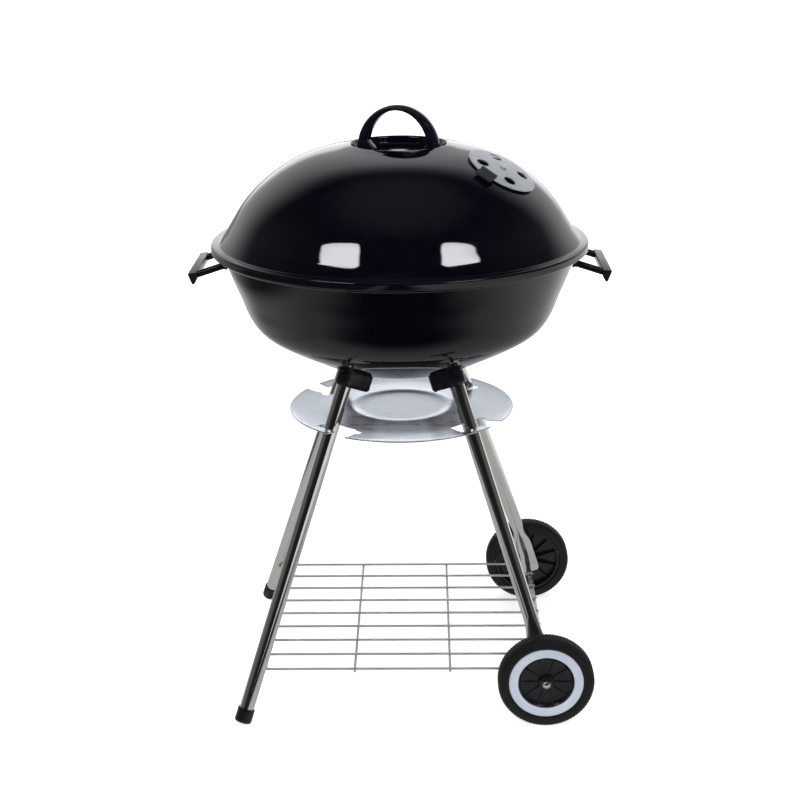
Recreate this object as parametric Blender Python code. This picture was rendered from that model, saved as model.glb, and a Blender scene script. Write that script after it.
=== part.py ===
"""Kettle charcoal grill on four legs, two of them carried on an axle with wheels.

Frame: metres, +Z up.  The kettle is turned about the Z axis, the feet and the
wheels stand on z = 0, +X is the wheel side, -Y is the front.
"""
import math

import bmesh
import bpy
from mathutils import Matrix, Vector

# ---------------------------------------------------------------- dimensions
SEG = 32                      # facets of the large turned shells
GAP = 0.0004                  # clearance between touching pieces

Z_SKIRT = 0.5600              # lower edge of the lid skirt
R_LID = 0.2300                # outer radius of the lid skirt
T_LID = 0.0013
LID_LEDGE_Z = 0.5690
R_RECESS = 0.0560             # round recess that carries the lid handle
Z_RECESS = 0.6755
LID_YAW = math.radians(-19.5)  # line of the handle
VENT_AZ = math.radians(-25.0)  # line of the damper

T_BOWL = 0.0014
Z_BOWL_BOTTOM = 0.4075
R_BEAD_OUT = 0.2250
R_BEAD_IN = 0.2168
Z_BEAD_TOP = 0.5670
Z_BEAD_LOW = 0.5556

DISC_R = 0.0430               # both dampers
DISC_T = 0.0012
DISC_SAG = 0.0030
VENT_R = 0.0075
VENT_PITCH = 0.0272           # hole centres from the rivet
R_LID_VENT = 0.1345

HANDLE_A = 0.0520             # lid handle, half length outside
HANDLE_B = 0.0400             # and inside
HANDLE_TOP = 0.7300
HANDLE_W = 0.0180

GRIP_Y = 0.0560               # side handle, half length of the grip
GRIP_X = 0.2440
GRIP_Z = 0.5395
ARM_Y = 0.0450
ARM_R = 0.0042
ARM_ROOT_Z = 0.5475
SIDE_SCREW_R = 0.0020

LEG_FOOT = (0.1980, 0.1785)   # |x|, |y| of the leg axis at z = 0
LEG_SLOPE = (0.3240, 0.2900)
LEG_R = 0.0090
LEG_WALL = 0.0012
SOCKET_R = 0.0128
SOCKET_LEN = 0.0250
SOCKET_Z = 0.3985             # socket mouth, measured on the leg axis
BOLT_R = 0.0030

WHEEL_R = 0.0586
WHEEL_W = 0.0230
WHEEL_Y = 0.1905              # outer face of each wheel
AXLE_X = 0.1750
AXLE_Z = 0.0586
AXLE_R = 0.0036
RING_IN = 0.0342
RING_OUT = 0.0452
BLADE_T = 0.0038              # flattened foot of each wheel-side leg
BLADE_W = 0.0280

WIRE_R = 0.0015
SHELF_Z = 0.0608
SHELF_PITCH = 0.0384
SHELF_X0 = -0.1690            # end wire by the standing legs
SHELF_X1 = 0.1640             # end wire by the axle
SHELF_HOOK_Y = 0.1475         # where the hooks leave the end wire for the legs

PAN_Z = 0.3530
PAN_R = 0.1411
PAN_T = 0.0010
SLOT_IN = 0.1010
SLOT_OUT = 0.1262

GRATE_Z = 0.5440
GRATE_R = 0.2030
COAL_Z = 0.4600
COAL_R = 0.1580

# --------------------------------------------------------------- fresh scene
for ob in list(bpy.data.objects):
    bpy.data.objects.remove(ob, do_unlink=True)

# ----------------------------------------------------------------- materials
FINISH = {
    "enamel": ((0.010, 0.010, 0.013), 0.08, 0.0),
    "phenolic": ((0.012, 0.012, 0.016), 0.25, 0.0),
    "black_plastic": ((0.016, 0.016, 0.020), 0.38, 0.0),
    "tab_plastic": ((0.020, 0.021, 0.027), 0.55, 0.0),
    "rubber": ((0.022, 0.022, 0.023), 0.62, 0.0),
    "chrome": ((0.72, 0.72, 0.72), 0.08, 1.0),
    "zinc": ((0.60, 0.62, 0.64), 0.32, 1.0),
    "pan_steel": ((0.52, 0.55, 0.58), 0.36, 1.0),
    "damper_alu": ((0.62, 0.65, 0.67), 0.34, 1.0),
    "wire": ((0.50, 0.49, 0.46), 0.28, 1.0),
    "grate_chrome": ((0.60, 0.60, 0.60), 0.20, 1.0),
    "white_ring": ((0.62, 0.70, 0.80), 0.35, 0.0),
}
_mats = {}


def finish(name):
    if name not in _mats:
        m = bpy.data.materials.new(name)
        m.use_nodes = True
        col, rough, metal = FINISH[name]
        b = m.node_tree.nodes["Principled BSDF"]
        b.inputs["Base Color"].default_value = (*col, 1.0)
        b.inputs["Roughness"].default_value = rough
        b.inputs["Metallic"].default_value = metal
        m.diffuse_color = (*col, 1.0)
        _mats[name] = m
    return _mats[name]


# -------------------------------------------------------------- mesh helpers
def obj_from(name, verts, faces, mat=None, smooth=True, angle=35.0):
    me = bpy.data.meshes.new(name)
    me.from_pydata([tuple(v) for v in verts], [], [tuple(f) for f in faces])
    bm = bmesh.new()
    bm.from_mesh(me)
    bmesh.ops.recalc_face_normals(bm, faces=bm.faces)
    bm.to_mesh(me)
    bm.free()
    ob = bpy.data.objects.new(name, me)
    bpy.context.scene.collection.objects.link(ob)
    if mat:
        me.materials.append(finish(mat))
    if smooth:
        me.shade_smooth()
        me.set_sharp_from_angle(angle=math.radians(angle))
    return ob


def frame_of(axis, hint=Vector((0, 0, 1))):
    """Right handed frame whose third axis is `axis`."""
    w = Vector(axis).normalized()
    if abs(w.dot(hint)) > 0.95:
        hint = Vector((1, 0, 0))
    u = hint.cross(w).normalized()
    v = w.cross(u)
    return u, v, w


def turned(name, prof, mat=None, seg=SEG, origin=(0, 0, 0), axis=(0, 0, 1),
           closed=True, angle=35.0, phase=0.0):
    """Turn a closed (radius, height) outline about an axis."""
    u, v, w = frame_of(axis, Vector((0, 1, 0)) if abs(axis[2]) > 0.9 else Vector((0, 0, 1)))
    o = Vector(origin)
    verts, rings = [], []
    for r, h in prof:
        if r < 1e-7:
            rings.append([len(verts)])
            verts.append(o + w * h)
        else:
            ids = []
            for k in range(seg):
                a = 2 * math.pi * (k + phase) / seg
                ids.append(len(verts))
                verts.append(o + w * h + u * (r * math.cos(a)) + v * (r * math.sin(a)))
            rings.append(ids)
    faces = []
    n = len(rings)
    last = n if closed else n - 1
    for i in range(last):
        a, b = rings[i], rings[(i + 1) % n]
        if len(a) == 1 and len(b) == 1:
            continue
        for k in range(seg):
            k2 = (k + 1) % seg
            if len(a) == 1:
                faces.append((a[0], b[k], b[k2]))
            elif len(b) == 1:
                faces.append((a[k], a[k2], b[0]))
            else:
                faces.append((a[k], a[k2], b[k2], b[k]))
    return obj_from(name, verts, faces, mat, True, angle)


def loft(name, rings, mat=None, cap=True, angle=35.0, closed=False):
    """Skin a run of equal-count point rings, with flat end caps."""
    verts, faces = [], []
    n = len(rings[0])
    for ring in rings:
        verts += list(ring)
    m = len(rings)
    for i in range(m if closed else m - 1):
        j = (i + 1) % m
        for k in range(n):
            k2 = (k + 1) % n
            faces.append((i * n + k, i * n + k2, j * n + k2, j * n + k))
    if cap and not closed:
        faces.append(tuple(range(n)))
        faces.append(tuple(reversed(range((m - 1) * n, m * n))))
    return obj_from(name, verts, faces, mat, True, angle)


def rod(name, a, b, r, mat=None, seg=12, phase=0.0):
    u, v, w = frame_of(Vector(b) - Vector(a))
    rings = []
    for p in (Vector(a), Vector(b)):
        rings.append([p + u * (r * math.cos(2 * math.pi * (k + phase) / seg))
                      + v * (r * math.sin(2 * math.pi * (k + phase) / seg)) for k in range(seg)])
    return loft(name, rings, mat)


def wire(name, pts, r, mat=None, seg=6, closed=False):
    """Round wire along a path, its section kept in the path's own frame."""
    pts = [Vector(p) for p in pts]
    n = len(pts)
    rings = []
    for i, p in enumerate(pts):
        if closed:
            t = (pts[(i + 1) % n] - pts[i - 1]).normalized()
        elif i == 0:
            t = (pts[1] - pts[0]).normalized()
        elif i == n - 1:
            t = (pts[-1] - pts[-2]).normalized()
        else:
            t = ((pts[i + 1] - p).normalized() + (p - pts[i - 1]).normalized()).normalized()
        u, v, w = frame_of(t, Vector((0, 0, 1)))
        rings.append([p + u * (r * math.cos(2 * math.pi * (k + 0.5) / seg))
                      + v * (r * math.sin(2 * math.pi * (k + 0.5) / seg)) for k in range(seg)])
    return loft(name, rings, mat, closed=closed)


def prism(name, outline, axis_o, u, v, w, lo, hi, mat=None, angle=35.0):
    """Extrude a flat outline given in (u, v) from lo to hi along w."""
    o, u, v, w = Vector(axis_o), Vector(u), Vector(v), Vector(w)
    rings = [[o + u * a + v * b + w * s for a, b in outline] for s in (lo, hi)]
    return loft(name, rings, mat, angle=angle)


def apply_modifiers(ob):
    dg = bpy.context.evaluated_depsgraph_get()
    me = bpy.data.meshes.new_from_object(ob.evaluated_get(dg))
    ob.modifiers.clear()
    old = ob.data
    ob.data = me
    bpy.data.meshes.remove(old)


def combine(ob, others, op):
    """Boolean `others` into `ob`, then drop them."""
    for other in others:
        m = ob.modifiers.new("bool", "BOOLEAN")
        m.operation = op
        m.solver = "EXACT"
        m.object = other
        bpy.context.view_layer.update()
        apply_modifiers(ob)
        bpy.data.objects.remove(other, do_unlink=True)
    tidy(ob)
    return ob


def tidy(ob, dist=2e-6, angle=35.0):
    bm = bmesh.new()
    bm.from_mesh(ob.data)
    bmesh.ops.remove_doubles(bm, verts=bm.verts, dist=dist)
    bmesh.ops.dissolve_degenerate(bm, edges=bm.edges, dist=dist)
    bm.to_mesh(ob.data)
    bm.free()
    ob.data.shade_smooth()
    ob.data.set_sharp_from_angle(angle=math.radians(angle))


def cut(ob, *cutters):
    return combine(ob, cutters, "DIFFERENCE")


def volume(ob):
    bm = bmesh.new()
    bm.from_mesh(ob.data)
    v = bm.calc_volume(signed=True)
    bm.free()
    return v


def shells(ob):
    """Number of separate bodies in a mesh."""
    me = ob.data
    link = list(range(len(me.vertices)))

    def root(i):
        while link[i] != i:
            link[i] = link[link[i]]
            i = link[i]
        return i
    for e in me.edges:
        a, b = root(e.vertices[0]), root(e.vertices[1])
        if a != b:
            link[a] = b
    return len({root(i) for i in range(len(link))})


def weld(ob, *others):
    """Union that is tried again a few hundredths of a millimetre away if it lets go."""
    for other in others:
        before = ob.data.copy()
        v0 = volume(ob)
        spare = other.data.copy()
        name = other.name
        for k in range(8):
            combine(ob, [other], "UNION")
            if volume(ob) > v0 and shells(ob) == 1:
                break
            ob.data = before.copy()
            other = bpy.data.objects.new(name, spare.copy())
            bpy.context.scene.collection.objects.link(other)
            d = 0.00002 * (k + 1)
            other.data.transform(Matrix.Translation((d, -0.6 * d, 0.8 * d)))
        else:
            bpy.data.objects.remove(other, do_unlink=True)
    return ob


# ------------------------------------------------------------ shell profiles
def catmull(stations, per=3):
    """Smooth curve through (radius, height) stations."""
    p = [Vector((a, b)) for a, b in stations]
    out = []
    for i in range(len(p) - 1):
        p0 = p[i - 1] if i else p[0] * 2 - p[1]
        p1, p2 = p[i], p[i + 1]
        p3 = p[i + 2] if i + 2 < len(p) else p2 * 2 - p1
        for k in range(per):
            t = k / per
            q = 0.5 * ((2 * p1) + (p2 - p0) * t + (2 * p0 - 5 * p1 + 4 * p2 - p3) * t * t
                       + (3 * p1 - p0 - 3 * p2 + p3) * t ** 3)
            out.append((q.x, q.y))
    out.append(tuple(p[-1]))
    return out


def offset(prof, d):
    """Shift an open profile sideways by d (to its left, going along it)."""
    out = []
    n = len(prof)
    for i, (r, z) in enumerate(prof):
        a = Vector(prof[max(i - 1, 0)])
        b = Vector(prof[min(i + 1, n - 1)])
        t = (b - a).normalized()
        out.append((max(r - t.y * d, 0.0), z + t.x * d))
    return out


LID_STATIONS = [(0.2176, 0.5706), (0.2045, 0.5922), (0.1896, 0.6152), (0.1678, 0.6382),
                (0.1356, 0.6612), (0.1020, 0.6756), (0.0620, 0.6842)]
BOWL_STATIONS = [(0.2145, 0.5530), (0.2077, 0.5324), (0.1965, 0.5048), (0.1879, 0.4818),
                 (0.1756, 0.4634), (0.1555, 0.4496), (0.1343, 0.4381), (0.1023, 0.4220),
                 (0.0800, 0.4127), (0.0500, Z_BOWL_BOTTOM)]


def lid_outer(per):
    """From the skirt's lower edge, over the ledge and dome, to the handle recess."""
    head = [(R_LID, Z_SKIRT), (R_LID, 0.5665), (R_LID - 0.0020, LID_LEDGE_Z), (0.2192, LID_LEDGE_Z + 0.0004)]
    tail = [(R_RECESS + 0.0035, 0.6851), (R_RECESS + 0.0004, 0.6833), (R_RECESS - 0.0008, Z_RECESS + 0.0008),
            (R_RECESS - 0.0020, Z_RECESS), (0.0, Z_RECESS)]
    return head + catmull(LID_STATIONS, per) + tail


def bowl_outer(per):
    """From under the rim bead down to the middle of the bottom."""
    return catmull(BOWL_STATIONS, per) + [(0.0, Z_BOWL_BOTTOM)]


def height_on(prof, r):
    """Height and outward unit normal (r, z) of a profile at a radius."""
    for (r0, z0), (r1, z1) in zip(prof, prof[1:]):
        if r1 <= r <= r0 and r0 > r1:
            t = (r0 - r) / (r0 - r1)
            d = Vector((r1 - r0, z1 - z0)).normalized()
            return z0 + t * (z1 - z0), Vector((d.y, -d.x))
    raise ValueError(r)


# ------------------------------------------------------------------- the lid
outer = lid_outer(1)
inner = offset(outer, T_LID)
inner[-1] = (0.0, Z_RECESS - T_LID)
inner[0] = (R_LID - T_LID, Z_SKIRT)
lid = turned("lid_shell", outer + inner[::-1], "enamel")

fine = catmull(LID_STATIONS, 16)
z_v, n_v = height_on(fine, R_LID_VENT)
n_v = Vector((abs(n_v.x), abs(n_v.y)))
ca, sa = math.cos(LID_YAW), math.sin(LID_YAW)
E_R = Vector((ca, sa, 0))                      # outward along the handle line
E_T = Vector((-sa, ca, 0))                     # across it
cv, sv = math.cos(VENT_AZ), math.sin(VENT_AZ)
V_O = Vector((R_LID_VENT * cv, R_LID_VENT * sv, z_v))
V_N = Vector((n_v.x * cv, n_v.x * sv, n_v.y)).normalized()   # damper axis
V_U = Vector((-sv, cv, 0))                     # around the lid
V_W = V_N.cross(V_U).normalized()              # up the dome


def vent_cutters(o, u, v, w, lo, hi, seg=10, r=VENT_R, n=4, twist=0.0):
    out = []
    for k in range(n):
        a = math.pi / 4 + k * math.pi / 2 + twist
        c = Vector(o) + (u * math.cos(a) + v * math.sin(a)) * VENT_PITCH
        out.append(rod("vent_cut", c + w * lo, c + w * hi, r, seg=seg))
    return out


def disc(name, o, u, v, w, sag, seg=22):
    """Domed damper disc: pressed rim, four holes and a rivet hole."""
    h = lambda r: -sag * (r / DISC_R) ** 2
    top = [(0.0, h(0) + DISC_T), (0.020, h(0.020) + DISC_T),
           (0.0398, h(0.0398) + DISC_T + 0.0006), (DISC_R, h(DISC_R) + DISC_T)]
    low = [(DISC_R, h(DISC_R)), (0.025, h(0.025)), (0.0, 0.0)]
    ob = turned(name, top + low, "damper_alu", seg=seg, origin=o, axis=w, closed=False)
    cutters = vent_cutters(o, u, v, w, -0.006, 0.006)
    cutters.append(rod("rivet_cut", Vector(o) - w * 0.004, Vector(o) + w * 0.004, 0.0027, seg=12))
    return cut(ob, *cutters)


def rivet(name, o, w, lo, hi, shank=0.0023):
    """Solid rivet: domed head above the disc, flat tail behind the shell."""
    prof = [(0.0, hi + 0.0022), (0.0026, hi + 0.0018), (0.0046, hi + 0.0006), (0.0048, hi),
            (shank, hi), (shank, lo), (0.0046, lo), (0.0046, lo - 0.0012), (0.0, lo - 0.0012)]
    return turned(name, prof, "zinc", seg=10, origin=o, axis=w, closed=False)


lid = cut(lid, *vent_cutters(V_O, V_U, V_W, V_N, -0.016, 0.006),
          rod("rivet_cut", V_O - V_N * 0.005, V_O + V_N * 0.005, 0.0027, seg=12))
D_O = V_O + V_N * 0.0008                        # underside of the lid damper at its middle
disc("lid_damper_disc", D_O, V_U, V_W, V_N, DISC_SAG)
rivet("lid_damper_rivet", V_O, V_N, -T_LID - 0.0018, 0.0008 + DISC_T + GAP)

# thumb tab: an upright edge on the disc and a plate that leans out past its rim
TAB_AZ = math.radians(178.0)
tu = (V_U * math.cos(TAB_AZ) + V_W * math.sin(TAB_AZ)).normalized()
tv = V_N.cross(tu).normalized()


def tab(name, o, tu, tv, w, pts, width, mat="tab_plastic"):
    rings = [[Vector(o) + tu * a + w * b + tv * s for a, b in pts] for s in (-width / 2, width / 2)]
    return loft(name, rings, mat, angle=30)


h_edge = -DISC_SAG + DISC_T
tab("lid_damper_tab", D_O, tu, tv, V_N,
    [(0.0392, h_edge + 0.0018), (0.0392, 0.0042), (0.0432, 0.0040), (0.0440, 0.0016), (0.0552, -0.0004),
     (0.0552, -0.0030), (0.0436, -0.0018 + 0.0004), (0.0436, h_edge + 0.0012)], 0.0210)

# handle: crescent arch that stands in the recess on two feet
H_Z = Z_RECESS + GAP


def handle_section(t):
    """Ring of the arch at parameter t in 0..pi: a bar with a raised middle rib outside."""
    h_out = HANDLE_TOP - H_Z
    h_in = h_out - 0.0058
    co, si = math.cos(t), max(math.sin(t), 0.0)
    po = E_R * (HANDLE_A * co) + Vector((0, 0, H_Z + h_out * si))
    pi_ = E_R * (HANDLE_B * co) + Vector((0, 0, H_Z + h_in * si))
    d = (po - pi_).normalized()
    hw = HANDLE_W / 2
    return [pi_ - E_T * (hw - 0.001), pi_ + E_T * (hw - 0.001), pi_ + E_T * hw + d * 0.0012,
            po + E_T * hw - d * 0.0022, po + E_T * (hw - 0.0022) - d * 0.0014, po + E_T * (hw - 0.0045),
            po - E_T * (hw - 0.0045), po - E_T * (hw - 0.0022) - d * 0.0014, po - E_T * hw - d * 0.0022,
            pi_ - E_T * hw + d * 0.0012]


handle = loft("lid_handle", [handle_section(math.pi * k / 22) for k in range(23)], "phenolic", angle=28)
HS_R = 0.0455                                   # screw line in each foot
for s in (1, -1):
    c = E_R * (s * HS_R)
    # gusset inside each foot, then the pilot bore for its screw
    g0 = E_R * (s * 0.0400)
    g1 = E_R * (s * 0.0310)
    base = Vector((0, 0, H_Z))
    rings = [[base + g0 + E_T * q + E_R * (s * 0.002), base + g1 + E_T * q,
              base + g1 + E_T * q + Vector((0, 0, 0.0022)),
              base + g0 + E_T * q + E_R * (s * 0.002) + Vector((0, 0, 0.0100))] for q in (-0.0065, 0.0065)]
    handle = weld(handle, loft("gusset", rings))
    handle = cut(handle, rod("pilot", c + Vector((0, 0, H_Z - 0.004)), c + Vector((0, 0, H_Z + 0.0125)), 0.0023, seg=10))
    lid = cut(lid, rod("screw_cut", c + Vector((0, 0, Z_RECESS - 0.006)), c + Vector((0, 0, Z_RECESS + 0.004)), 0.0024, seg=10))
    tag = "right" if s > 0 else "left"
    zt = Z_RECESS - T_LID - GAP
    turned("lid_handle_screw_" + tag,
           [(0.0, H_Z + 0.0115), (0.0019, H_Z + 0.0115), (0.0019, zt), (0.0046, zt),
            (0.0034, zt - 0.0026), (0.0, zt - 0.0032)],
           "zinc", seg=10, origin=c, closed=False)

# ------------------------------------------------------------------ the bowl
wall = bowl_outer(1)
wall_in = offset(wall, -T_BOWL)
wall_in[-1] = (0.0, Z_BOWL_BOTTOM + T_BOWL)
bead = [(R_BEAD_IN + 0.0004, Z_BEAD_LOW), (R_BEAD_OUT - 0.0014, Z_BEAD_LOW), (R_BEAD_OUT, Z_BEAD_LOW + 0.0016),
        (R_BEAD_OUT, Z_BEAD_TOP - 0.0022), (R_BEAD_OUT - 0.0022, Z_BEAD_TOP), (R_BEAD_IN, Z_BEAD_TOP),
        (R_BEAD_IN - 0.0026, Z_BEAD_TOP - 0.0022)]
bowl = turned("bowl_shell", wall[::-1] + bead + wall_in, "enamel", closed=False)
B_O = Vector((0, 0, Z_BOWL_BOTTOM))
X, Y, Z = Vector((1, 0, 0)), Vector((0, 1, 0)), Vector((0, 0, 1))
cutters = vent_cutters(B_O, X, Y, Z, -0.005, 0.006)
cutters.append(rod("rivet_cut", B_O - Z * 0.004, B_O + Z * 0.005, 0.0027, seg=12))
bowl = cut(bowl, *cutters)

# bottom damper, hung under the bowl by its rivet
K_O = B_O - Z * 0.0007
disc("bottom_damper_disc", K_O, X, -Y, -Z, 0.0)
rivet("bottom_damper_rivet", B_O, -Z, -T_BOWL - 0.0006, 0.0007 + DISC_T + GAP)
KT = math.radians(-20.0)                        # tab direction in plan
ku = Vector((math.cos(KT), math.sin(KT), 0))
kv = Z.cross(ku)
kz = -(DISC_T + 0.0006 + GAP)
tab("bottom_damper_tab", K_O, ku, kv, Z,
    [(0.0330, kz - 0.0003), (0.0330, kz - 0.0024), (0.0442, kz - 0.0026), (0.0480, kz - 0.0265),
     (0.0508, kz - 0.0265), (0.0476, kz - 0.0003)], 0.0225)

# ------------------------------------------------------------ leg, per corner
NORM = math.sqrt(1 + LEG_SLOPE[0] ** 2 + LEG_SLOPE[1] ** 2)
fine_bowl = catmull(BOWL_STATIONS, 16) + [(0.0, Z_BOWL_BOTTOM)]
shadow = [(0.0, Z_BOWL_BOTTOM - 0.0006)] + offset(wall, 0.0006)[:-1][::-1]


def ring_on(o, u, v, r, n, ph=0.5):
    return [o + u * (r * math.cos(2 * math.pi * (k + ph) / n)) + v * (r * math.sin(2 * math.pi * (k + ph) / n))
            for k in range(n)]


def leg_corner(sx, sy, tag):
    global bowl
    foot = Vector((sx * LEG_FOOT[0], sy * LEG_FOOT[1], 0))
    up = Vector((-sx * LEG_SLOPE[0], -sy * LEG_SLOPE[1], 1)) / NORM
    at = lambda z: foot + up * (z * NORM)
    # where the leg axis meets the bowl
    zb = 0.40
    for _ in range(60):
        p = at(zb)
        h, _n = height_on(fine_bowl, math.hypot(p.x, p.y))
        zb += (h - zb) * 0.5
    top = at(zb) - up * 0.0052                   # upper end of the tube
    hub = at(zb)
    inward = Vector((-hub.x, -hub.y, 0))
    inward = (inward - up * inward.dot(up)).normalized()
    side = up.cross(inward).normalized()
    # socket: long round-ended block, its mouth square to the leg
    n = 6
    outline = []
    for k in range(n + 1):
        a = -math.pi / 2 + math.pi * k / n
        outline.append((SOCKET_LEN + SOCKET_R * math.cos(a), SOCKET_R * math.sin(a)))
    for k in range(n + 1):
        a = math.pi / 2 + math.pi * k / n
        outline.append((SOCKET_R * math.cos(a), SOCKET_R * math.sin(a)))
    mouth = at(SOCKET_Z)

    def shrink(d):
        res = []
        for a, b in outline:
            cx = min(max(a, 0.0), SOCKET_LEN)
            k = (SOCKET_R - d) / SOCKET_R
            res.append((cx + (a - cx) * k, b * k))
        return res
    levels = [(0.0, 0.0042), (0.0012, 0.0014), (0.0040, 0.0), (0.0340, 0.0)]
    rings = [[mouth + inward * a + side * b + up * s for a, b in shrink(d)] for s, d in levels]
    block = loft("leg_socket_" + tag, rings, "black_plastic", angle=40)
    cover = turned("bowl_shadow", shadow + [(0.2145 + 0.0006, 0.60), (0.0, 0.60)], None, closed=False)
    block = cut(block, cover, rod("leg_bore", mouth - up * 0.01, top + up * GAP, LEG_R + 0.0004, seg=16),
                rod("bolt_bore", mouth, at(zb) + up * 0.01, BOLT_R + 0.0004, seg=12))
    bowl = cut(bowl, rod("bolt_hole", at(zb) - up * 0.006, at(zb) + up * 0.008, BOLT_R + 0.0004, seg=12))
    # bolt from inside the bowl into the threaded insert of the leg
    hb = zb + (T_BOWL + 0.0009) / NORM
    h0 = at(hb)
    turned("leg_bolt_" + tag,
           [(0.0, 0.0036), (0.0040, 0.0030), (0.0060, 0.0), (BOLT_R, 0.0), (BOLT_R, -0.0212), (0.0, -0.0212)],
           "zinc", seg=10, origin=h0, axis=up, closed=False)
    ins_top = top - up * 0.0012
    turned("leg_insert_" + tag,
           [(LEG_R - LEG_WALL - GAP, 0.0), (LEG_R - LEG_WALL - GAP, -0.0120), (BOLT_R + GAP, -0.0120),
            (BOLT_R + GAP, 0.0)],
           "zinc", seg=12, origin=ins_top, axis=up, closed=True)
    u, v, w = frame_of(up)
    if sx < 0:
        low = foot + up * 0.0062
        rings = [ring_on(low, u, v, LEG_R, 16), ring_on(top, u, v, LEG_R, 16),
                 ring_on(top, u, v, LEG_R - LEG_WALL, 16), ring_on(low, u, v, LEG_R - LEG_WALL, 16)]
        leg = loft("leg_" + tag, rings, "chrome", closed=True)
        ws = at(SHELF_Z)
        leg = cut(leg, rod("wire_hole", Vector((ws.x, sy * 0.148, SHELF_Z)),
                           Vector((ws.x, ws.y - sy * 0.001, SHELF_Z)), WIRE_R + 0.0004, seg=8))
        # rubber-like cap, shaved flat where it stands
        c0 = foot + up * 0.0016
        cap = [ring_on(c0, u, v, 0.0092, 20), ring_on(c0 + up * 0.0012, u, v, 0.0106, 20),
               ring_on(foot + up * 0.0190, u, v, 0.0106, 20), ring_on(foot + up * 0.0198, u, v, 0.0100, 20)]
        ob = loft("foot_cap_" + tag, cap, "black_plastic", angle=40)
        below = prism("floor_cut", [(-0.05, -0.05), (0.05, -0.05), (0.05, 0.05), (-0.05, 0.05)],
                      (foot.x, foot.y, 0), X, Y, Z, -0.03, 0.0)
        cut(ob, below, rod("cap_bore", foot + up * (0.0062 - GAP), foot + up * 0.03, LEG_R + 0.0003, seg=16, phase=0.5))
    else:
        # tube that is pressed flat at its foot, with the axle through it
        n = 16
        end_z = AXLE_Z - 0.0125
        flat = Vector((up.x, 0, up.z)).normalized()      # run of the blade in the X-Z plane
        across = flat.cross(Y).normalized() * -1
        blade_y = sy * 0.1615
        rings = []
        z_round = 0.128
        for z, t in ((end_z, 1.0), (AXLE_Z + 0.016, 1.0), (0.088, 0.72), (0.104, 0.30), (z_round, 0.0)):
            p = at(z)
            if t >= 1.0:
                k = (z - AXLE_Z)
                p = Vector((AXLE_X + flat.x / flat.z * k, blade_y, z))
                cu, cv, hw, ht, pw = across, Y * sy, BLADE_W / 2, BLADE_T / 2, 4.0
            else:
                q = at(z)
                bl = Vector((AXLE_X + flat.x / flat.z * (z - AXLE_Z), blade_y, z))
                p = q.lerp(bl, t)
                cu = (across - up * across.dot(up) * (1 - t)).normalized()
                cv = up.cross(cu).normalized()
                if cv.dot(Y * sy) < 0:
                    cv = -cv
                cv = cv.lerp(Y * sy, t).normalized()
                hw = LEG_R + (BLADE_W / 2 - LEG_R) * t
                ht = LEG_R + (BLADE_T / 2 - LEG_R) * t
                pw = 2.0 + 2.0 * t
            ring = []
            for k in range(n):
                a = 2 * math.pi * (k + 0.5) / n
                c, s = math.cos(a), math.sin(a)
                ring.append(p + cu * (hw * math.copysign(abs(c) ** (2 / pw), c))
                            + cv * (ht * math.copysign(abs(s) ** (2 / pw), s)))
            rings.append(ring)
            if t == 0.0:
                cu0, cv0 = cu, cv
        ring = lambda p, r: [p + cu0 * (r * math.cos(2 * math.pi * (k + 0.5) / n))
                             + cv0 * (r * math.sin(2 * math.pi * (k + 0.5) / n)) for k in range(n)]
        rings.append(ring(top, LEG_R))
        rings.append(ring(top, LEG_R - LEG_WALL))
        rings.append(ring(at(z_round + 0.012), LEG_R - LEG_WALL))
        leg = loft("leg_" + tag, rings, "chrome")
        cut(leg, rod("axle_hole", Vector((AXLE_X, blade_y - 0.006, AXLE_Z)),
                     Vector((AXLE_X, blade_y + 0.006, AXLE_Z)), AXLE_R + 0.0004, seg=12))
    return zb


for sx, sy, tag in ((-1, -1, "front_left"), (1, -1, "front_right"), (-1, 1, "rear_left"), (1, 1, "rear_right")):
    leg_corner(sx, sy, tag)

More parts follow.
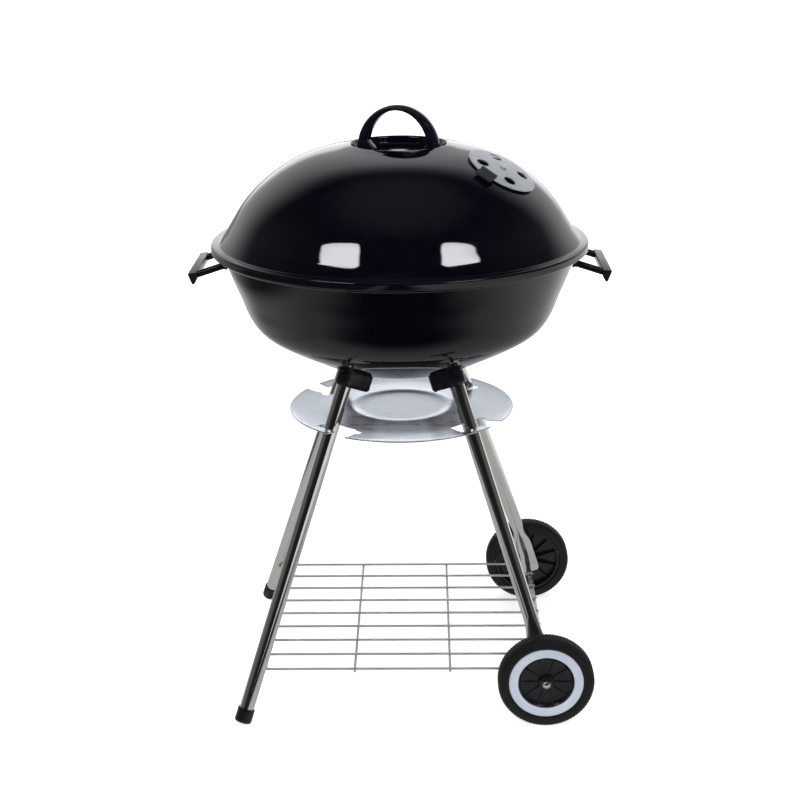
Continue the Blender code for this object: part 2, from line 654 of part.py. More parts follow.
# ------------------------------------------------------------- side handles
ARM_TILT = math.radians(18.0)
for s, tag in ((1, "right"), (-1, "left")):
    ex = Vector((s, 0, 0))
    dirn = (ex * math.cos(ARM_TILT) - Z * math.sin(ARM_TILT)).normalized()
    z_r = ARM_ROOT_Z
    rw = 0.0
    for (r0, z0), (r1, z1) in zip(fine_bowl, fine_bowl[1:]):
        if z1 <= z_r <= z0:
            rw = r0 + (r1 - r0) * (z0 - z_r) / (z0 - z1)
            break
    xr = math.sqrt(rw * rw - ARM_Y * ARM_Y)      # wall at the arm's root
    # grip: wedge bar along Y, broad on top, its point hanging down and inwards
    sec = [(0.2428, 0.5392), (0.2440, 0.5402), (0.2462, 0.5404), (0.2468, 0.5399), (0.2490, 0.5402),
           (0.2496, 0.5397), (0.2518, 0.5399), (0.2530, 0.5394), (0.2543, 0.5382), (0.2536, 0.5362),
           (0.2496, 0.5262), (0.2486, 0.5252), (0.2470, 0.5258), (0.2448, 0.5290), (0.2430, 0.5352)]
    rings = []
    for y in (-GRIP_Y, GRIP_Y):
        rings.append([Vector((s * a, y, b)) for a, b in sec])
    grip = loft("side_handle_" + tag, rings, "phenolic", angle=25)
    for sy in (-1, 1):
        root = Vector((s * xr, sy * ARM_Y, z_r))
        nrm = Vector((s * xr, sy * ARM_Y, 0)).normalized() * math.cos(ARM_TILT) - Z * math.sin(ARM_TILT)
        base = root + nrm * 0.0010
        tip_x = 0.2450
        tip = base + dirn * ((tip_x - abs(base.x)) / math.cos(ARM_TILT))
        arm = rod("arm", base + dirn * 0.0006, tip, ARM_R, seg=12)
        u, v, w = frame_of(nrm)
        foot_rings = [ring_on(base, u, v, 0.0062, 12), ring_on(base + nrm * 0.0022, u, v, 0.0058, 12),
                      ring_on(base + nrm * 0.0040, u, v, 0.0044, 12)]
        grip = weld(grip, arm, loft("pad", foot_rings))
        grip = cut(grip, rod("screw_bore", base - nrm * 0.004, base + nrm * 0.0090, SIDE_SCREW_R + 0.0003, seg=10))
        bowl = cut(bowl, rod("screw_hole", root - nrm * 0.008, root + nrm * 0.006, SIDE_SCREW_R + 0.0004, seg=10))
        hb = root - nrm * (T_BOWL + 0.0016)
        name = "side_handle_screw_%s_%s" % (tag, "front" if sy < 0 else "rear")
        turned(name, [(0.0, -0.0030), (0.0034, -0.0024), (0.0046, 0.0), (SIDE_SCREW_R, 0.0),
                      (SIDE_SCREW_R, 0.0106), (0.0, 0.0106)],
               "zinc", seg=10, origin=hb, axis=nrm, closed=False)

# ------------------------------------------------- grates inside the kettle
for k in range(4):
    a = math.radians(45 + 90 * k)
    er = Vector((math.cos(a), math.sin(a), 0))
    et = Vector((-math.sin(a), math.cos(a), 0))
    pts = [(0.2098, 0.5405), (0.1940, 0.5405), (0.1940, 0.5391), (0.2058, 0.5391), (0.1942, 0.5105),
           (0.1956, 0.5099), (0.2070, 0.5380), (0.2090, 0.5391)]
    pts = [(r - 0.0018, z) for r, z in pts]
    rings = [[er * r + et * q + Vector((0, 0, z)) for r, z in pts] for q in (-0.008, 0.008)]
    loft("grate_bracket_%d" % (k + 1), rings, "zinc", angle=20)


def bar_grate(name, z, radius, ring_r, bar_r, pitch, n_half, cross, mat, n_seg):
    """Ring with parallel bars laid through it and cross bars welded under them."""
    ring_pts = [(radius * math.cos(2 * math.pi * (k + 0.37) / n_seg),
                 radius * math.sin(2 * math.pi * (k + 0.37) / n_seg), z) for k in range(n_seg)]
    ob = wire(name, ring_pts, ring_r, mat, seg=4, closed=True)
    for i in range(-n_half, n_half + 1):
        y = i * pitch
        reach = math.sqrt(radius ** 2 - y ** 2) - 0.0002
        ob = weld(ob, rod("bar", (-reach, y, z + 0.0001), (reach, y, z + 0.0001), bar_r, seg=4, phase=0.5))
    zc = z - 1.2 * bar_r
    for x in cross:
        reach = math.sqrt(radius ** 2 - x ** 2) - 0.0003
        ob = weld(ob, rod("cross", (x, -reach, zc), (x, reach, zc), bar_r, seg=4, phase=0.5))
    return ob


bar_grate("cooking_grate", GRATE_Z, GRATE_R, 0.0030, 0.0024, 0.0392, 4, (-0.0860, 0.0855), "grate_chrome", 28)
bar_grate("charcoal_grate", COAL_Z, COAL_R, 0.0034, 0.0030, 0.0386, 3, (-0.0553, 0.0555), "grate_chrome", 27)

# -------------------------------------------------------------- ash catcher
pan_top = [(0.0, PAN_Z - 0.0040), (0.0520, PAN_Z - 0.0040), (0.0600, PAN_Z + 0.0014),
           (0.0690, PAN_Z - 0.0002), (0.1050, PAN_Z - 0.0022), (PAN_R, PAN_Z + 0.0012)]
pan_low = [(r, z - PAN_T) for r, z in pan_top[::-1]]
pan = turned("ash_catcher", pan_top + pan_low, "pan_steel", closed=False)


def sector(name, az0, az1, r0a, r0b, r1a, r1b, n=5, lo=PAN_Z - 0.02, hi=PAN_Z + 0.02):
    """Vertical cutter between two azimuths; inner and outer radius run linearly."""
    out = []
    for k in range(n + 1):
        t = k / n
        a = math.radians(az0 + (az1 - az0) * t)
        out.append((a, r0a + (r0b - r0a) * t, r1a + (r1b - r1a) * t))
    pts = [(r1 * math.cos(a), r1 * math.sin(a)) for a, r0, r1 in out]
    pts += [(r0 * math.cos(a), r0 * math.sin(a)) for a, r0, r1 in out[::-1]]
    rings = [[Vector((x, y, z)) for x, y in pts] for z in (lo, hi)]
    return loft(name, rings)


for k in range(4):
    q = 90.0 * k
    slot = sector("slot", -144.0 + q, -122.0 + q, SLOT_IN, SLOT_IN, SLOT_OUT, SLOT_OUT, 6)
    mouth = sector("mouth", -128.9 + q, -118.0 + q, 0.1100, SLOT_IN + 0.0100, 0.1600, 0.1600, 3)
    pan = cut(pan, slot, mouth,
              sector("throat", -126.0 + q, -115.4 + q, SLOT_IN, SLOT_IN + 0.0060, 0.1240, 0.1160, 3))

# --------------------------------------------------------------- wire shelf
half = 4 * SHELF_PITCH
leg_x = -LEG_FOOT[0] + LEG_SLOPE[0] * SHELF_Z
leg_y = LEG_FOOT[1] - LEG_SLOPE[1] * SHELF_Z
shelf = rod("wire_shelf", (SHELF_X0, -half - 0.0012, SHELF_Z), (SHELF_X0, half + 0.0012, SHELF_Z), WIRE_R, "wire", seg=4, phase=0.5)
members = [rod("w", (SHELF_X1, -half - 0.0012, SHELF_Z), (SHELF_X1, half + 0.0012, SHELF_Z), WIRE_R, seg=4, phase=0.5)]
for i in range(-4, 5):
    y = i * SHELF_PITCH
    if abs(i) in (1, 3):
        run = [(SHELF_X0 - 0.0005, y, SHELF_Z), (SHELF_X1 + 0.0010, y, SHELF_Z)]
        rr = AXLE_R + WIRE_R + GAP + 0.0002
        for d in (125, 85, 40, 0):
            a = math.radians(d)
            run.append((AXLE_X + rr * math.cos(a), y, AXLE_Z + rr * math.sin(a)))
        members.append(wire("w", run, WIRE_R * 0.97, seg=4))
    else:
        members.append(rod("w", (SHELF_X0 - 0.0005, y, SHELF_Z), (SHELF_X1 + 0.0005, y, SHELF_Z), WIRE_R, seg=4, phase=0.5))
for x in (-0.0590, 0.0590):
    members.append(rod("w", (x, -half - 0.003, SHELF_Z - 0.0017), (x, half + 0.003, SHELF_Z - 0.0017), WIRE_R, seg=4, phase=0.5))
for sy in (-1, 1):
    members.append(wire("w", [(SHELF_X0 + 0.0004, sy * SHELF_HOOK_Y, SHELF_Z), (leg_x + 0.0016, sy * SHELF_HOOK_Y, SHELF_Z),
                              (leg_x, sy * (SHELF_HOOK_Y + 0.0014), SHELF_Z), (leg_x, sy * (leg_y - 0.0040), SHELF_Z)],
                        WIRE_R, seg=4))
shelf = weld(shelf, *members)

# ------------------------------------------------------------ axle and wheels
rod("axle", (AXLE_X, -WHEEL_Y - 0.0008, AXLE_Z), (AXLE_X, WHEEL_Y + 0.0008, AXLE_Z), AXLE_R, "zinc", seg=12)
for sy, tag in ((-1, "front"), (1, "rear")):
    o = (AXLE_X, sy * WHEEL_Y, AXLE_Z)
    ax = (0, sy, 0)                              # heights below run outwards; 0 is the outer face
    r = WHEEL_R
    bore = 0.0462
    turned("wheel_tyre_" + tag,
           [(bore, -WHEEL_W), (r - 0.0042, -WHEEL_W), (r, -WHEEL_W + 0.0045), (r, -0.0045), (r - 0.0042, 0.0),
            (bore, 0.0)],
           "rubber", seg=32, origin=o, axis=ax, closed=True)
    hr = bore - GAP
    turned("wheel_hub_" + tag,
           [(AXLE_R + 0.0005, -0.0022), (0.0095, -0.0022), (0.0100, -0.0070), (RING_IN - 0.0020, -0.0064),
            (RING_IN - 0.0014, -0.0030), (RING_IN - 0.0006, -0.0030), (RING_IN - 0.0006, -0.0052), (hr, -0.0052),
            (hr, -WHEEL_W + 0.0030), (hr - 0.0036, -WHEEL_W + 0.0030), (hr - 0.0046, -0.0098), (0.0112, -0.0098),
            (0.0105, -WHEEL_W + 0.0008), (AXLE_R + 0.0005, -WHEEL_W + 0.0008)],
           "black_plastic", seg=20, origin=o, axis=ax, closed=True, angle=30)
    turned("wheel_ring_" + tag,
           [(RING_IN, -0.0047), (RING_IN, -0.0020), (RING_OUT, -0.0020), (RING_OUT, -0.0047)],
           "white_ring", seg=28, origin=o, axis=ax, closed=True)
    turned("axle_washer_" + tag,
           [(AXLE_R + 0.0004, -WHEEL_W - 0.0003), (0.0070, -WHEEL_W - 0.0003), (0.0070, -WHEEL_W - 0.0015),
            (AXLE_R + 0.0004, -WHEEL_W - 0.0015)],
           "zinc", seg=10, origin=o, axis=ax, closed=True)
    # domed nut on the axle end, bored blind from the wheel side
    turned("axle_nut_" + tag,
           [(0.0, 0.0012), (AXLE_R + 0.0003, 0.0012), (AXLE_R + 0.0003, -0.0018), (0.0056, -0.0018),
            (0.0056, 0.0012), (0.0042, 0.0030), (0.0018, 0.0040), (0.0, 0.0042)],
           "chrome", seg=12, origin=o, axis=ax, closed=False)
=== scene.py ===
import math

import bmesh
import bpy
from mathutils import Matrix, Vector


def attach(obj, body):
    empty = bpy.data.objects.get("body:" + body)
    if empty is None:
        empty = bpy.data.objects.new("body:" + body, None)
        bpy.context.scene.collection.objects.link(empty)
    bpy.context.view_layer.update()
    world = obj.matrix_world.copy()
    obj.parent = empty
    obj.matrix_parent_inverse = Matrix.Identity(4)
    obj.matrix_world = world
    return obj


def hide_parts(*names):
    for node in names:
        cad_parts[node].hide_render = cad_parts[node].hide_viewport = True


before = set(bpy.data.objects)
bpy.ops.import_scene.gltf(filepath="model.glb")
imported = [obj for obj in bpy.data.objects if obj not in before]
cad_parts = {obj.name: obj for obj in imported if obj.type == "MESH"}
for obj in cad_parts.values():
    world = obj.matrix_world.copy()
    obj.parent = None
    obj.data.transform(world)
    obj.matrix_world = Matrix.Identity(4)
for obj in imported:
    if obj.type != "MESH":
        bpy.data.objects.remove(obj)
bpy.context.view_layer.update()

X, Y, Z = Vector((1, 0, 0)), Vector((0, 1, 0)), Vector((0, 0, 1))
scene = bpy.context.scene
scene.view_settings.view_transform = "Standard"

# ------------------------------------------------------------------ camera
CAM_LOC = Vector((0.02951, -1.83669, 0.97285))
YAW, PITCH, ROLL = -0.0171, 0.3224, -0.0112
FOCAL_PX = 1526.8


def place_camera():
    w = Vector((math.sin(YAW) * math.cos(PITCH), math.cos(YAW) * math.cos(PITCH), -math.sin(PITCH)))
    r = Vector((math.cos(YAW), -math.sin(YAW), 0.0))
    u = r.cross(w)
    c, s = math.cos(ROLL), math.sin(ROLL)
    r2, u2 = c * r + s * u, -s * r + c * u
    cam = bpy.data.cameras.new("camera")
    cam.sensor_width = 36.0
    cam.lens = FOCAL_PX / 800.0 * 36.0
    cam.clip_end = 200
    ob = bpy.data.objects.new("camera", cam)
    scene.collection.objects.link(ob)
    m = Matrix((r2, u2, -w)).transposed().to_4x4()
    m.translation = CAM_LOC
    ob.matrix_world = m
    scene.camera = ob


place_camera()

# --------------------------------------------------------------- materials
_mats = {}


class Net:
    """Small helper to lay out a node material."""

    def __init__(self, name, color, rough, metal=0.0, **kw):
        m = bpy.data.materials.new(name)
        m.use_nodes = True
        self.m, self.t = m, m.node_tree
        self.b = self.t.nodes["Principled BSDF"]
        self.b.inputs["Base Color"].default_value = (*color, 1)
        self.b.inputs["Roughness"].default_value = rough
        self.b.inputs["Metallic"].default_value = metal
        for k, v in kw.items():
            self.b.inputs[k.replace("_", " ")].default_value = v
        self.co = self.t.nodes.new("ShaderNodeTexCoord")
        _mats[name] = m

    def node(self, kind, **kw):
        n = self.t.nodes.new(kind)
        for k, v in kw.items():
            if k in n.inputs:
                n.inputs[k].default_value = v
            else:
                setattr(n, k, v)
        return n

    def link(self, a, b):
        self.t.links.new(a, b)

    def coords(self, scale=(1, 1, 1), rot=(0, 0, 0)):
        mp = self.node("ShaderNodeMapping")
        mp.inputs["Scale"].default_value = scale
        mp.inputs["Rotation"].default_value = rot
        self.link(self.co.outputs["Object"], mp.inputs["Vector"])
        return mp.outputs["Vector"]

    def noise(self, scale, detail=4.0, rough=0.55, vec=None, distortion=0.0):
        n = self.node("ShaderNodeTexNoise")
        n.inputs["Scale"].default_value = scale
        n.inputs["Detail"].default_value = detail
        n.inputs["Roughness"].default_value = rough
        n.inputs["Distortion"].default_value = distortion
        self.link(vec or self.co.outputs["Object"], n.inputs["Vector"])
        return n.outputs["Fac"]

    def voronoi(self, scale, feature="F1", vec=None, out="Distance"):
        n = self.node("ShaderNodeTexVoronoi", feature=feature)
        n.inputs["Scale"].default_value = scale
        self.link(vec or self.co.outputs["Object"], n.inputs["Vector"])
        return n.outputs[out]

    def ramp(self, fac, stops):
        n = self.node("ShaderNodeValToRGB")
        e = n.color_ramp.elements
        while len(e) > 1:
            e.remove(e[-1])
        e[0].position, e[0].color = stops[0][0], (*stops[0][1], 1)
        for p, c in stops[1:]:
            x = e.new(p)
            x.color = (*c, 1)
        self.link(fac, n.inputs["Fac"])
        return n.outputs["Color"]

    def span(self, fac, lo, hi, a=0.0, b=1.0):
        n = self.node("ShaderNodeMapRange")
        n.inputs["From Min"].default_value = a
        n.inputs["From Max"].default_value = b
        n.inputs["To Min"].default_value = lo
        n.inputs["To Max"].default_value = hi
        self.link(fac, n.inputs["Value"])
        return n.outputs["Result"]

    def mix(self, fac, a, b):
        n = self.node("ShaderNodeMix", data_type="RGBA")
        for sock, v in ((n.inputs["Factor"], fac), (n.inputs[6], a), (n.inputs[7], b)):
            if isinstance(v, (int, float)):
                sock.default_value = v
            elif isinstance(v, tuple):
                sock.default_value = (*v, 1)
            else:
                self.link(v, sock)
        return n.outputs[2]

    def math(self, op, a, b=None):
        n = self.node("ShaderNodeMath", operation=op)
        for i, v in enumerate((a, b)):
            if v is None:
                continue
            if isinstance(v, (int, float)):
                n.inputs[i].default_value = v
            else:
                self.link(v, n.inputs[i])
        return n.outputs[0]

    def color(self, out):
        self.link(out, self.b.inputs["Base Color"])

    def rough(self, out):
        self.link(out, self.b.inputs["Roughness"])

    def bump(self, height, dist, strength=1.0):
        prev = self.b.inputs["Normal"].links[0].from_socket if self.b.inputs["Normal"].links else None
        n = self.node("ShaderNodeBump")
        n.inputs["Strength"].default_value = strength
        n.inputs["Distance"].default_value = dist
        self.link(height, n.inputs["Height"])
        if prev:
            self.link(prev, n.inputs["Normal"])
        self.link(n.outputs["Normal"], self.b.inputs["Normal"])


def build_materials():
    # porcelain enamel: deep black glass with faint orange peel and pin specks
    n = Net("enamel", (0.0022, 0.0020, 0.0040), 0.03, IOR=1.50)
    n.color(n.ramp(n.noise(60, 3), [(0.35, (0.0012, 0.0010, 0.0030)), (0.70, (0.0024, 0.0020, 0.0050))]))
    n.rough(n.span(n.noise(22, 5), 0.022, 0.045, 0.3, 0.7))
    n.bump(n.noise(260, 2, 0.5), 0.000006, 0.30)
    n.bump(n.noise(9, 2, 0.5), 0.00012, 0.10)
    # phenolic handles: gloss with a soft mould texture and handling scuffs
    n = Net("phenolic", (0.004, 0.004, 0.009), 0.12, IOR=1.48, Specular_IOR_Level=0.20)
    n.color(n.ramp(n.noise(90, 4), [(0.3, (0.0028, 0.0030, 0.0068)), (0.75, (0.0062, 0.0064, 0.0120))]))
    n.rough(n.span(n.noise(55, 5, 0.65), 0.07, 0.15, 0.3, 0.7))
    n.bump(n.noise(420, 3), 0.00003, 0.30)
    # ribbed grip top faces: same moulding, rubbed matt, with a lighter colour painted on as a highlight where light
    # falls on the top
    n = Net("phenolic_grip_painted_highlight", (0.030, 0.030, 0.034), 0.34, IOR=1.55)
    n.color(n.ramp(n.noise(140, 5, 0.7), [(0.3, (0.020, 0.020, 0.024)), (0.75, (0.050, 0.050, 0.056))]))
    n.rough(n.span(n.noise(80, 4), 0.26, 0.42, 0.3, 0.7))
    n.bump(n.noise(700, 3), 0.00005, 0.5)
    # sockets, foot caps, hubs: injection moulded, fine spark texture
    n = Net("black_plastic", (0.010, 0.010, 0.014), 0.24, IOR=1.49)
    n.color(n.ramp(n.noise(70, 4), [(0.3, (0.0035, 0.0036, 0.0060)), (0.75, (0.0075, 0.0076, 0.0110))]))
    n.rough(n.span(n.noise(60, 5, 0.6), 0.17, 0.34, 0.3, 0.7))
    n.bump(n.noise(900, 2), 0.00003, 0.5)
    n = Net("tab_plastic", (0.016, 0.017, 0.024), 0.48, IOR=1.49)
    n.color(n.ramp(n.noise(90, 4), [(0.3, (0.012, 0.013, 0.019)), (0.75, (0.022, 0.023, 0.031))]))
    n.rough(n.span(n.noise(120, 4), 0.40, 0.58, 0.3, 0.7))
    n.bump(n.noise(1100, 2), 0.00005, 0.6)
    # tyre
    n = Net("rubber", (0.018, 0.018, 0.019), 0.58, IOR=1.48)
    dust = n.noise(38, 6, 0.7)
    n.color(n.ramp(dust, [(0.35, (0.0040, 0.0040, 0.0048)), (0.62, (0.0068, 0.0068, 0.0076)), (0.80, (0.0130, 0.0126, 0.0122))]))
    n.rough(n.span(dust, 0.46, 0.68, 0.3, 0.7))
    n.bump(n.noise(650, 4, 0.6), 0.00008, 0.5)
    # chrome tube: drawing lines along the length, faint haze
    n = Net("chrome", (0.78, 0.772, 0.75), 0.05, 1.0)
    haze = n.noise(30, 6, 0.6)
    n.color(n.ramp(haze, [(0.3, (0.72, 0.715, 0.70)), (0.7, (0.83, 0.825, 0.81))]))
    n.rough(n.span(haze, 0.030, 0.075, 0.3, 0.7))
    n.bump(n.noise(1.0, 3, 0.6, n.coords((900, 900, 14))), 0.00002, 0.25)
    # zinc plated hardware
    n = Net("zinc", (0.62, 0.63, 0.64), 0.28, 1.0)
    z = n.noise(140, 5, 0.65)
    n.color(n.ramp(z, [(0.3, (0.50, 0.51, 0.52)), (0.7, (0.70, 0.71, 0.71))]))
    n.rough(n.span(z, 0.22, 0.38, 0.3, 0.7))
    n.bump(n.noise(1600, 2), 0.00003, 0.4)
    # galvanised ash catcher: spangle, rolling streaks, wipe marks
    n = Net("pan_steel", (0.66, 0.71, 0.77), 0.30, 0.88)
    cells = n.voronoi(95, out="Color")
    bw = n.node("ShaderNodeRGBToBW")
    n.link(cells, bw.inputs["Color"])
    streak = n.noise(1.0, 5, 0.6, n.coords((9, 120, 60), (0, 0, 0.5)))
    base = n.ramp(streak, [(0.30, (0.49, 0.54, 0.60)), (0.55, (0.57, 0.62, 0.68)), (0.80, (0.65, 0.69, 0.74))])
    sp = n.ramp(bw.outputs["Val"], [(0.2, (0.51, 0.56, 0.62)), (0.8, (0.65, 0.69, 0.74))])
    n.color(n.mix(0.28, base, sp))
    n.rough(n.math("ADD", n.span(streak, 0.20, 0.34, 0.3, 0.7), n.math("MULTIPLY", bw.outputs["Val"], 0.05)))
    n.bump(n.noise(24, 3, 0.5), 0.0006, 0.22)
    n.bump(n.noise(500, 3), 0.00003, 0.4)
    # dampers: satin aluminium, fine grain
    n = Net("damper_alu", (0.60, 0.64, 0.68), 0.42, 0.80)
    g = n.noise(1.0, 4, 0.6, n.coords((60, 700, 300), (0.3, 0, 0.4)))
    n.color(n.ramp(g, [(0.3, (0.53, 0.57, 0.60)), (0.7, (0.66, 0.70, 0.73))]))
    n.rough(n.span(n.noise(45, 5, 0.6), 0.38, 0.52, 0.3, 0.7))
    n.bump(g, 0.00003, 0.5)
    # plated shelf wire
    n = Net("wire", (0.58, 0.565, 0.53), 0.40, 0.65)
    w = n.noise(60, 5, 0.65)
    n.color(n.ramp(w, [(0.3, (0.50, 0.485, 0.45)), (0.7, (0.66, 0.645, 0.61))]))
    n.rough(n.span(w, 0.38, 0.52, 0.3, 0.7))
    n.bump(n.noise(900, 3), 0.00003, 0.4)
    n = Net("grate_chrome", (0.66, 0.66, 0.65), 0.16, 1.0)
    w = n.noise(70, 5, 0.65)
    n.color(n.ramp(w, [(0.3, (0.55, 0.55, 0.54)), (0.7, (0.74, 0.74, 0.73))]))
    n.rough(n.span(w, 0.10, 0.24, 0.3, 0.7))
    n.bump(n.noise(700, 3), 0.00003, 0.4)
    # pale trim ring
    n = Net("white_ring", (0.60, 0.66, 0.76), 0.45, IOR=1.40)
    r = n.noise(40, 5, 0.6)
    n.color(n.ramp(r, [(0.3, (0.55, 0.61, 0.71)), (0.7, (0.63, 0.69, 0.79))]))
    n.rough(n.span(r, 0.40, 0.55, 0.3, 0.7))
    n.bump(n.noise(600, 2), 0.00003, 0.3)


build_materials()

# -------------------------------------------------------------- mesh tools
ANGLE = math.radians(30)


def finish_mesh(ob, angle=30.0):
    ob.data.shade_smooth()
    ob.data.set_sharp_from_angle(angle=math.radians(angle))


def obj_from(name, verts, faces, mat=None, angle=30.0):
    me = bpy.data.meshes.new(name)
    me.from_pydata([tuple(v) for v in verts], [], [tuple(f) for f in faces])
    bm = bmesh.new()
    bm.from_mesh(me)
    bmesh.ops.recalc_face_normals(bm, faces=bm.faces)
    bm.to_mesh(me)
    bm.free()
    ob = bpy.data.objects.new(name, me)
    scene.collection.objects.link(ob)
    if mat:
        me.materials.append(_mats[mat])
    finish_mesh(ob, angle)
    return ob


def frame_of(axis, hint=Vector((0, 0, 1))):
    w = Vector(axis).normalized()
    if abs(w.dot(hint)) > 0.95:
        hint = Vector((1, 0, 0))
    u = hint.cross(w).normalized()
    return u, w.cross(u), w


def turned(name, prof, mat=None, seg=96, origin=(0, 0, 0), axis=(0, 0, 1), closed=True, angle=30.0, phase=0.0, radial=None):
    """Turn a (radius, height) outline. radial(k, i, r) may change the radius per facet."""
    u, v, w = frame_of(axis, Vector((0, 1, 0)) if abs(axis[2]) > 0.9 else Vector((0, 0, 1)))
    o = Vector(origin)
    verts, rings = [], []
    for i, (r, h) in enumerate(prof):
        if r < 1e-7:
            rings.append([len(verts)])
            verts.append(o + w * h)
        else:
            ids = []
            for k in range(seg):
                a = 2 * math.pi * (k + phase) / seg
                rr = radial(k, i, r) if radial else r
                ids.append(len(verts))
                verts.append(o + w * h + u * (rr * math.cos(a)) + v * (rr * math.sin(a)))
            rings.append(ids)
    faces = []
    n = len(rings)
    for i in range(n if closed else n - 1):
        a, b = rings[i], rings[(i + 1) % n]
        if len(a) == 1 and len(b) == 1:
            continue
        for k in range(seg):
            k2 = (k + 1) % seg
            if len(a) == 1:
                faces.append((a[0], b[k], b[k2]))
            elif len(b) == 1:
                faces.append((a[k], a[k2], b[0]))
            else:
                faces.append((a[k], a[k2], b[k2], b[k]))
    return obj_from(name, verts, faces, mat, angle)


def loft(name, rings, mat=None, cap=True, angle=30.0, closed=False):
    verts, faces = [], []
    n = len(rings[0])
    for ring in rings:
        verts += list(ring)
    m = len(rings)
    for i in range(m if closed else m - 1):
        j = (i + 1) % m
        for k in range(n):
            k2 = (k + 1) % n
            faces.append((i * n + k, i * n + k2, j * n + k2, j * n + k))
    if cap and not closed:
        faces.append(tuple(range(n)))
        faces.append(tuple(reversed(range((m - 1) * n, m * n))))
    return obj_from(name, verts, faces, mat, angle)


def ring_on(o, u, v, r, n, ph=0.5):
    return [o + u * (r * math.cos(2 * math.pi * (k + ph) / n)) + v * (r * math.sin(2 * math.pi * (k + ph) / n))
            for k in range(n)]


def rod(name, a, b, r, mat=None, seg=24):
    u, v, w = frame_of(Vector(b) - Vector(a))
    return loft(name, [ring_on(Vector(p), u, v, r, seg) for p in (a, b)], mat)


def smooth_path(pts, per=6):
    p = [Vector(q) for q in pts]
    out = []
    for i in range(len(p) - 1):
        p0 = p[i - 1] if i else p[0] * 2 - p[1]
        p1, p2 = p[i], p[i + 1]
        p3 = p[i + 2] if i + 2 < len(p) else p2 * 2 - p1
        for k in range(per):
            t = k / per
            out.append(0.5 * ((2 * p1) + (p2 - p0) * t + (2 * p0 - 5 * p1 + 4 * p2 - p3) * t * t
                              + (3 * p1 - p0 - 3 * p2 + p3) * t ** 3))
    out.append(p[-1])
    return out


def bend_path(pts, rad, n=6):
    """Round every inner corner of a polyline with an arc-like bend."""
    p = [Vector(q) for q in pts]
    out = [p[0]]
    for i in range(1, len(p) - 1):
        a, b = (p[i - 1] - p[i]), (p[i + 1] - p[i])
        d = min(rad, a.length * 0.48, b.length * 0.48)
        s, e = p[i] + a.normalized() * d, p[i] + b.normalized() * d
        for k in range(n + 1):
            t = k / n
            out.append(s * (1 - t) ** 2 + p[i] * 2 * t * (1 - t) + e * t * t)
    out.append(p[-1])
    return out


def tube_rings(pts, r, seg=12, closed=False, dome=True):
    pts = [Vector(p) for p in pts]
    n = len(pts)
    tans = []
    for i in range(n):
        if closed:
            t = pts[(i + 1) % n] - pts[i - 1]
        elif i == 0:
            t = pts[1] - pts[0]
        elif i == n - 1:
            t = pts[-1] - pts[-2]
        else:
            t = (pts[i + 1] - pts[i]).normalized() + (pts[i] - pts[i - 1]).normalized()
        tans.append(t.normalized())
    u, v, w = frame_of(tans[0])
    rings = []
    for i, (p, t) in enumerate(zip(pts, tans)):
        u = (u - t * u.dot(t)).normalized()
        v = t.cross(u)
        rings.append(ring_on(p, u, v, r, seg))
    if dome and not closed:
        def cap(p, t, u, v, sign):
            return [ring_on(p + t * (sign * r * 0.45 * math.sin(a)), u, v, r * math.cos(a), seg) for a in (0.5, 1.0)]
        u0, v0, w0 = frame_of(tans[0])
        first = cap(pts[0], tans[0], u0, v0, -1)
        last = cap(pts[-1], tans[-1], u, v, 1)
        rings = first[::-1] + rings + last
    return rings


def tubes(name, runs, mat, seg=12):
    """Several round wires as one mesh. Each run is (points, radius, closed)."""
    verts, faces = [], []
    for pts, r, closed in runs:
        rings = tube_rings(pts, r, seg, closed)
        base, n, m = len(verts), seg, len(rings)
        for ring in rings:
            verts += ring
        for i in range(m if closed else m - 1):
            j = (i + 1) % m
            for k in range(n):
                k2 = (k + 1) % n
                faces.append((base + i * n + k, base + i * n + k2, base + j * n + k2, base + j * n + k))
        if not closed:
            faces.append(tuple(base + k for k in range(n)))
            faces.append(tuple(base + (m - 1) * n + k for k in reversed(range(n))))
    return obj_from(name, verts, faces, mat, 40)


def apply_mods(ob):
    dg = bpy.context.evaluated_depsgraph_get()
    me = bpy.data.meshes.new_from_object(ob.evaluated_get(dg))
    ob.modifiers.clear()
    old = ob.data
    ob.data = me
    bpy.data.meshes.remove(old)


def combine(ob, others, op, angle=30.0):
    for other in others:
        m = ob.modifiers.new("bool", "BOOLEAN")
        m.operation = op
        m.solver = "EXACT"
        m.object = other
        bpy.context.view_layer.update()
        apply_mods(ob)
        bpy.data.objects.remove(other, do_unlink=True)
    finish_mesh(ob, angle)
    return ob


def bevel(ob, width, seg=2, limit=35.0, angle=30.0):
    m = ob.modifiers.new("bevel", "BEVEL")
    m.width = width
    m.segments = seg
    m.limit_method = "ANGLE"
    m.angle_limit = math.radians(limit)
    m.harden_normals = False
    apply_mods(ob)
    finish_mesh(ob, angle)
    return ob


def fillet(points, radii, n=6):
    """Round the corners of an open 2D polyline."""
    out = [tuple(points[0])]
    for i in range(1, len(points) - 1):
        p, a, b = Vector(points[i]), Vector(points[i - 1]), Vector(points[i + 1])
        r = radii[i - 1]
        ua, ub = (a - p), (b - p)
        la, lb = ua.length, ub.length
        ua, ub = ua / la, ub / lb
        ang = math.acos(max(-1, min(1, ua.dot(ub))))
        if r <= 0 or ang > math.pi - 0.02:
            out.append(tuple(p))
            continue
        d = min(r / math.tan(ang / 2), 0.49 * la, 0.49 * lb)
        s, e = p + ua * d, p + ub * d
        rr = d * math.tan(ang / 2)
        c = p + (ua + ub).normalized() * (rr / math.sin(ang / 2))
        a0 = math.atan2(s.y - c.y, s.x - c.x)
        a1 = math.atan2(e.y - c.y, e.x - c.x)
        da = (a1 - a0 + math.pi) % (2 * math.pi) - math.pi
        for k in range(n + 1):
            t = a0 + da * k / n
            out.append((c.x + rr * math.cos(t), c.y + rr * math.sin(t)))
    out.append(tuple(points[-1]))
    return out


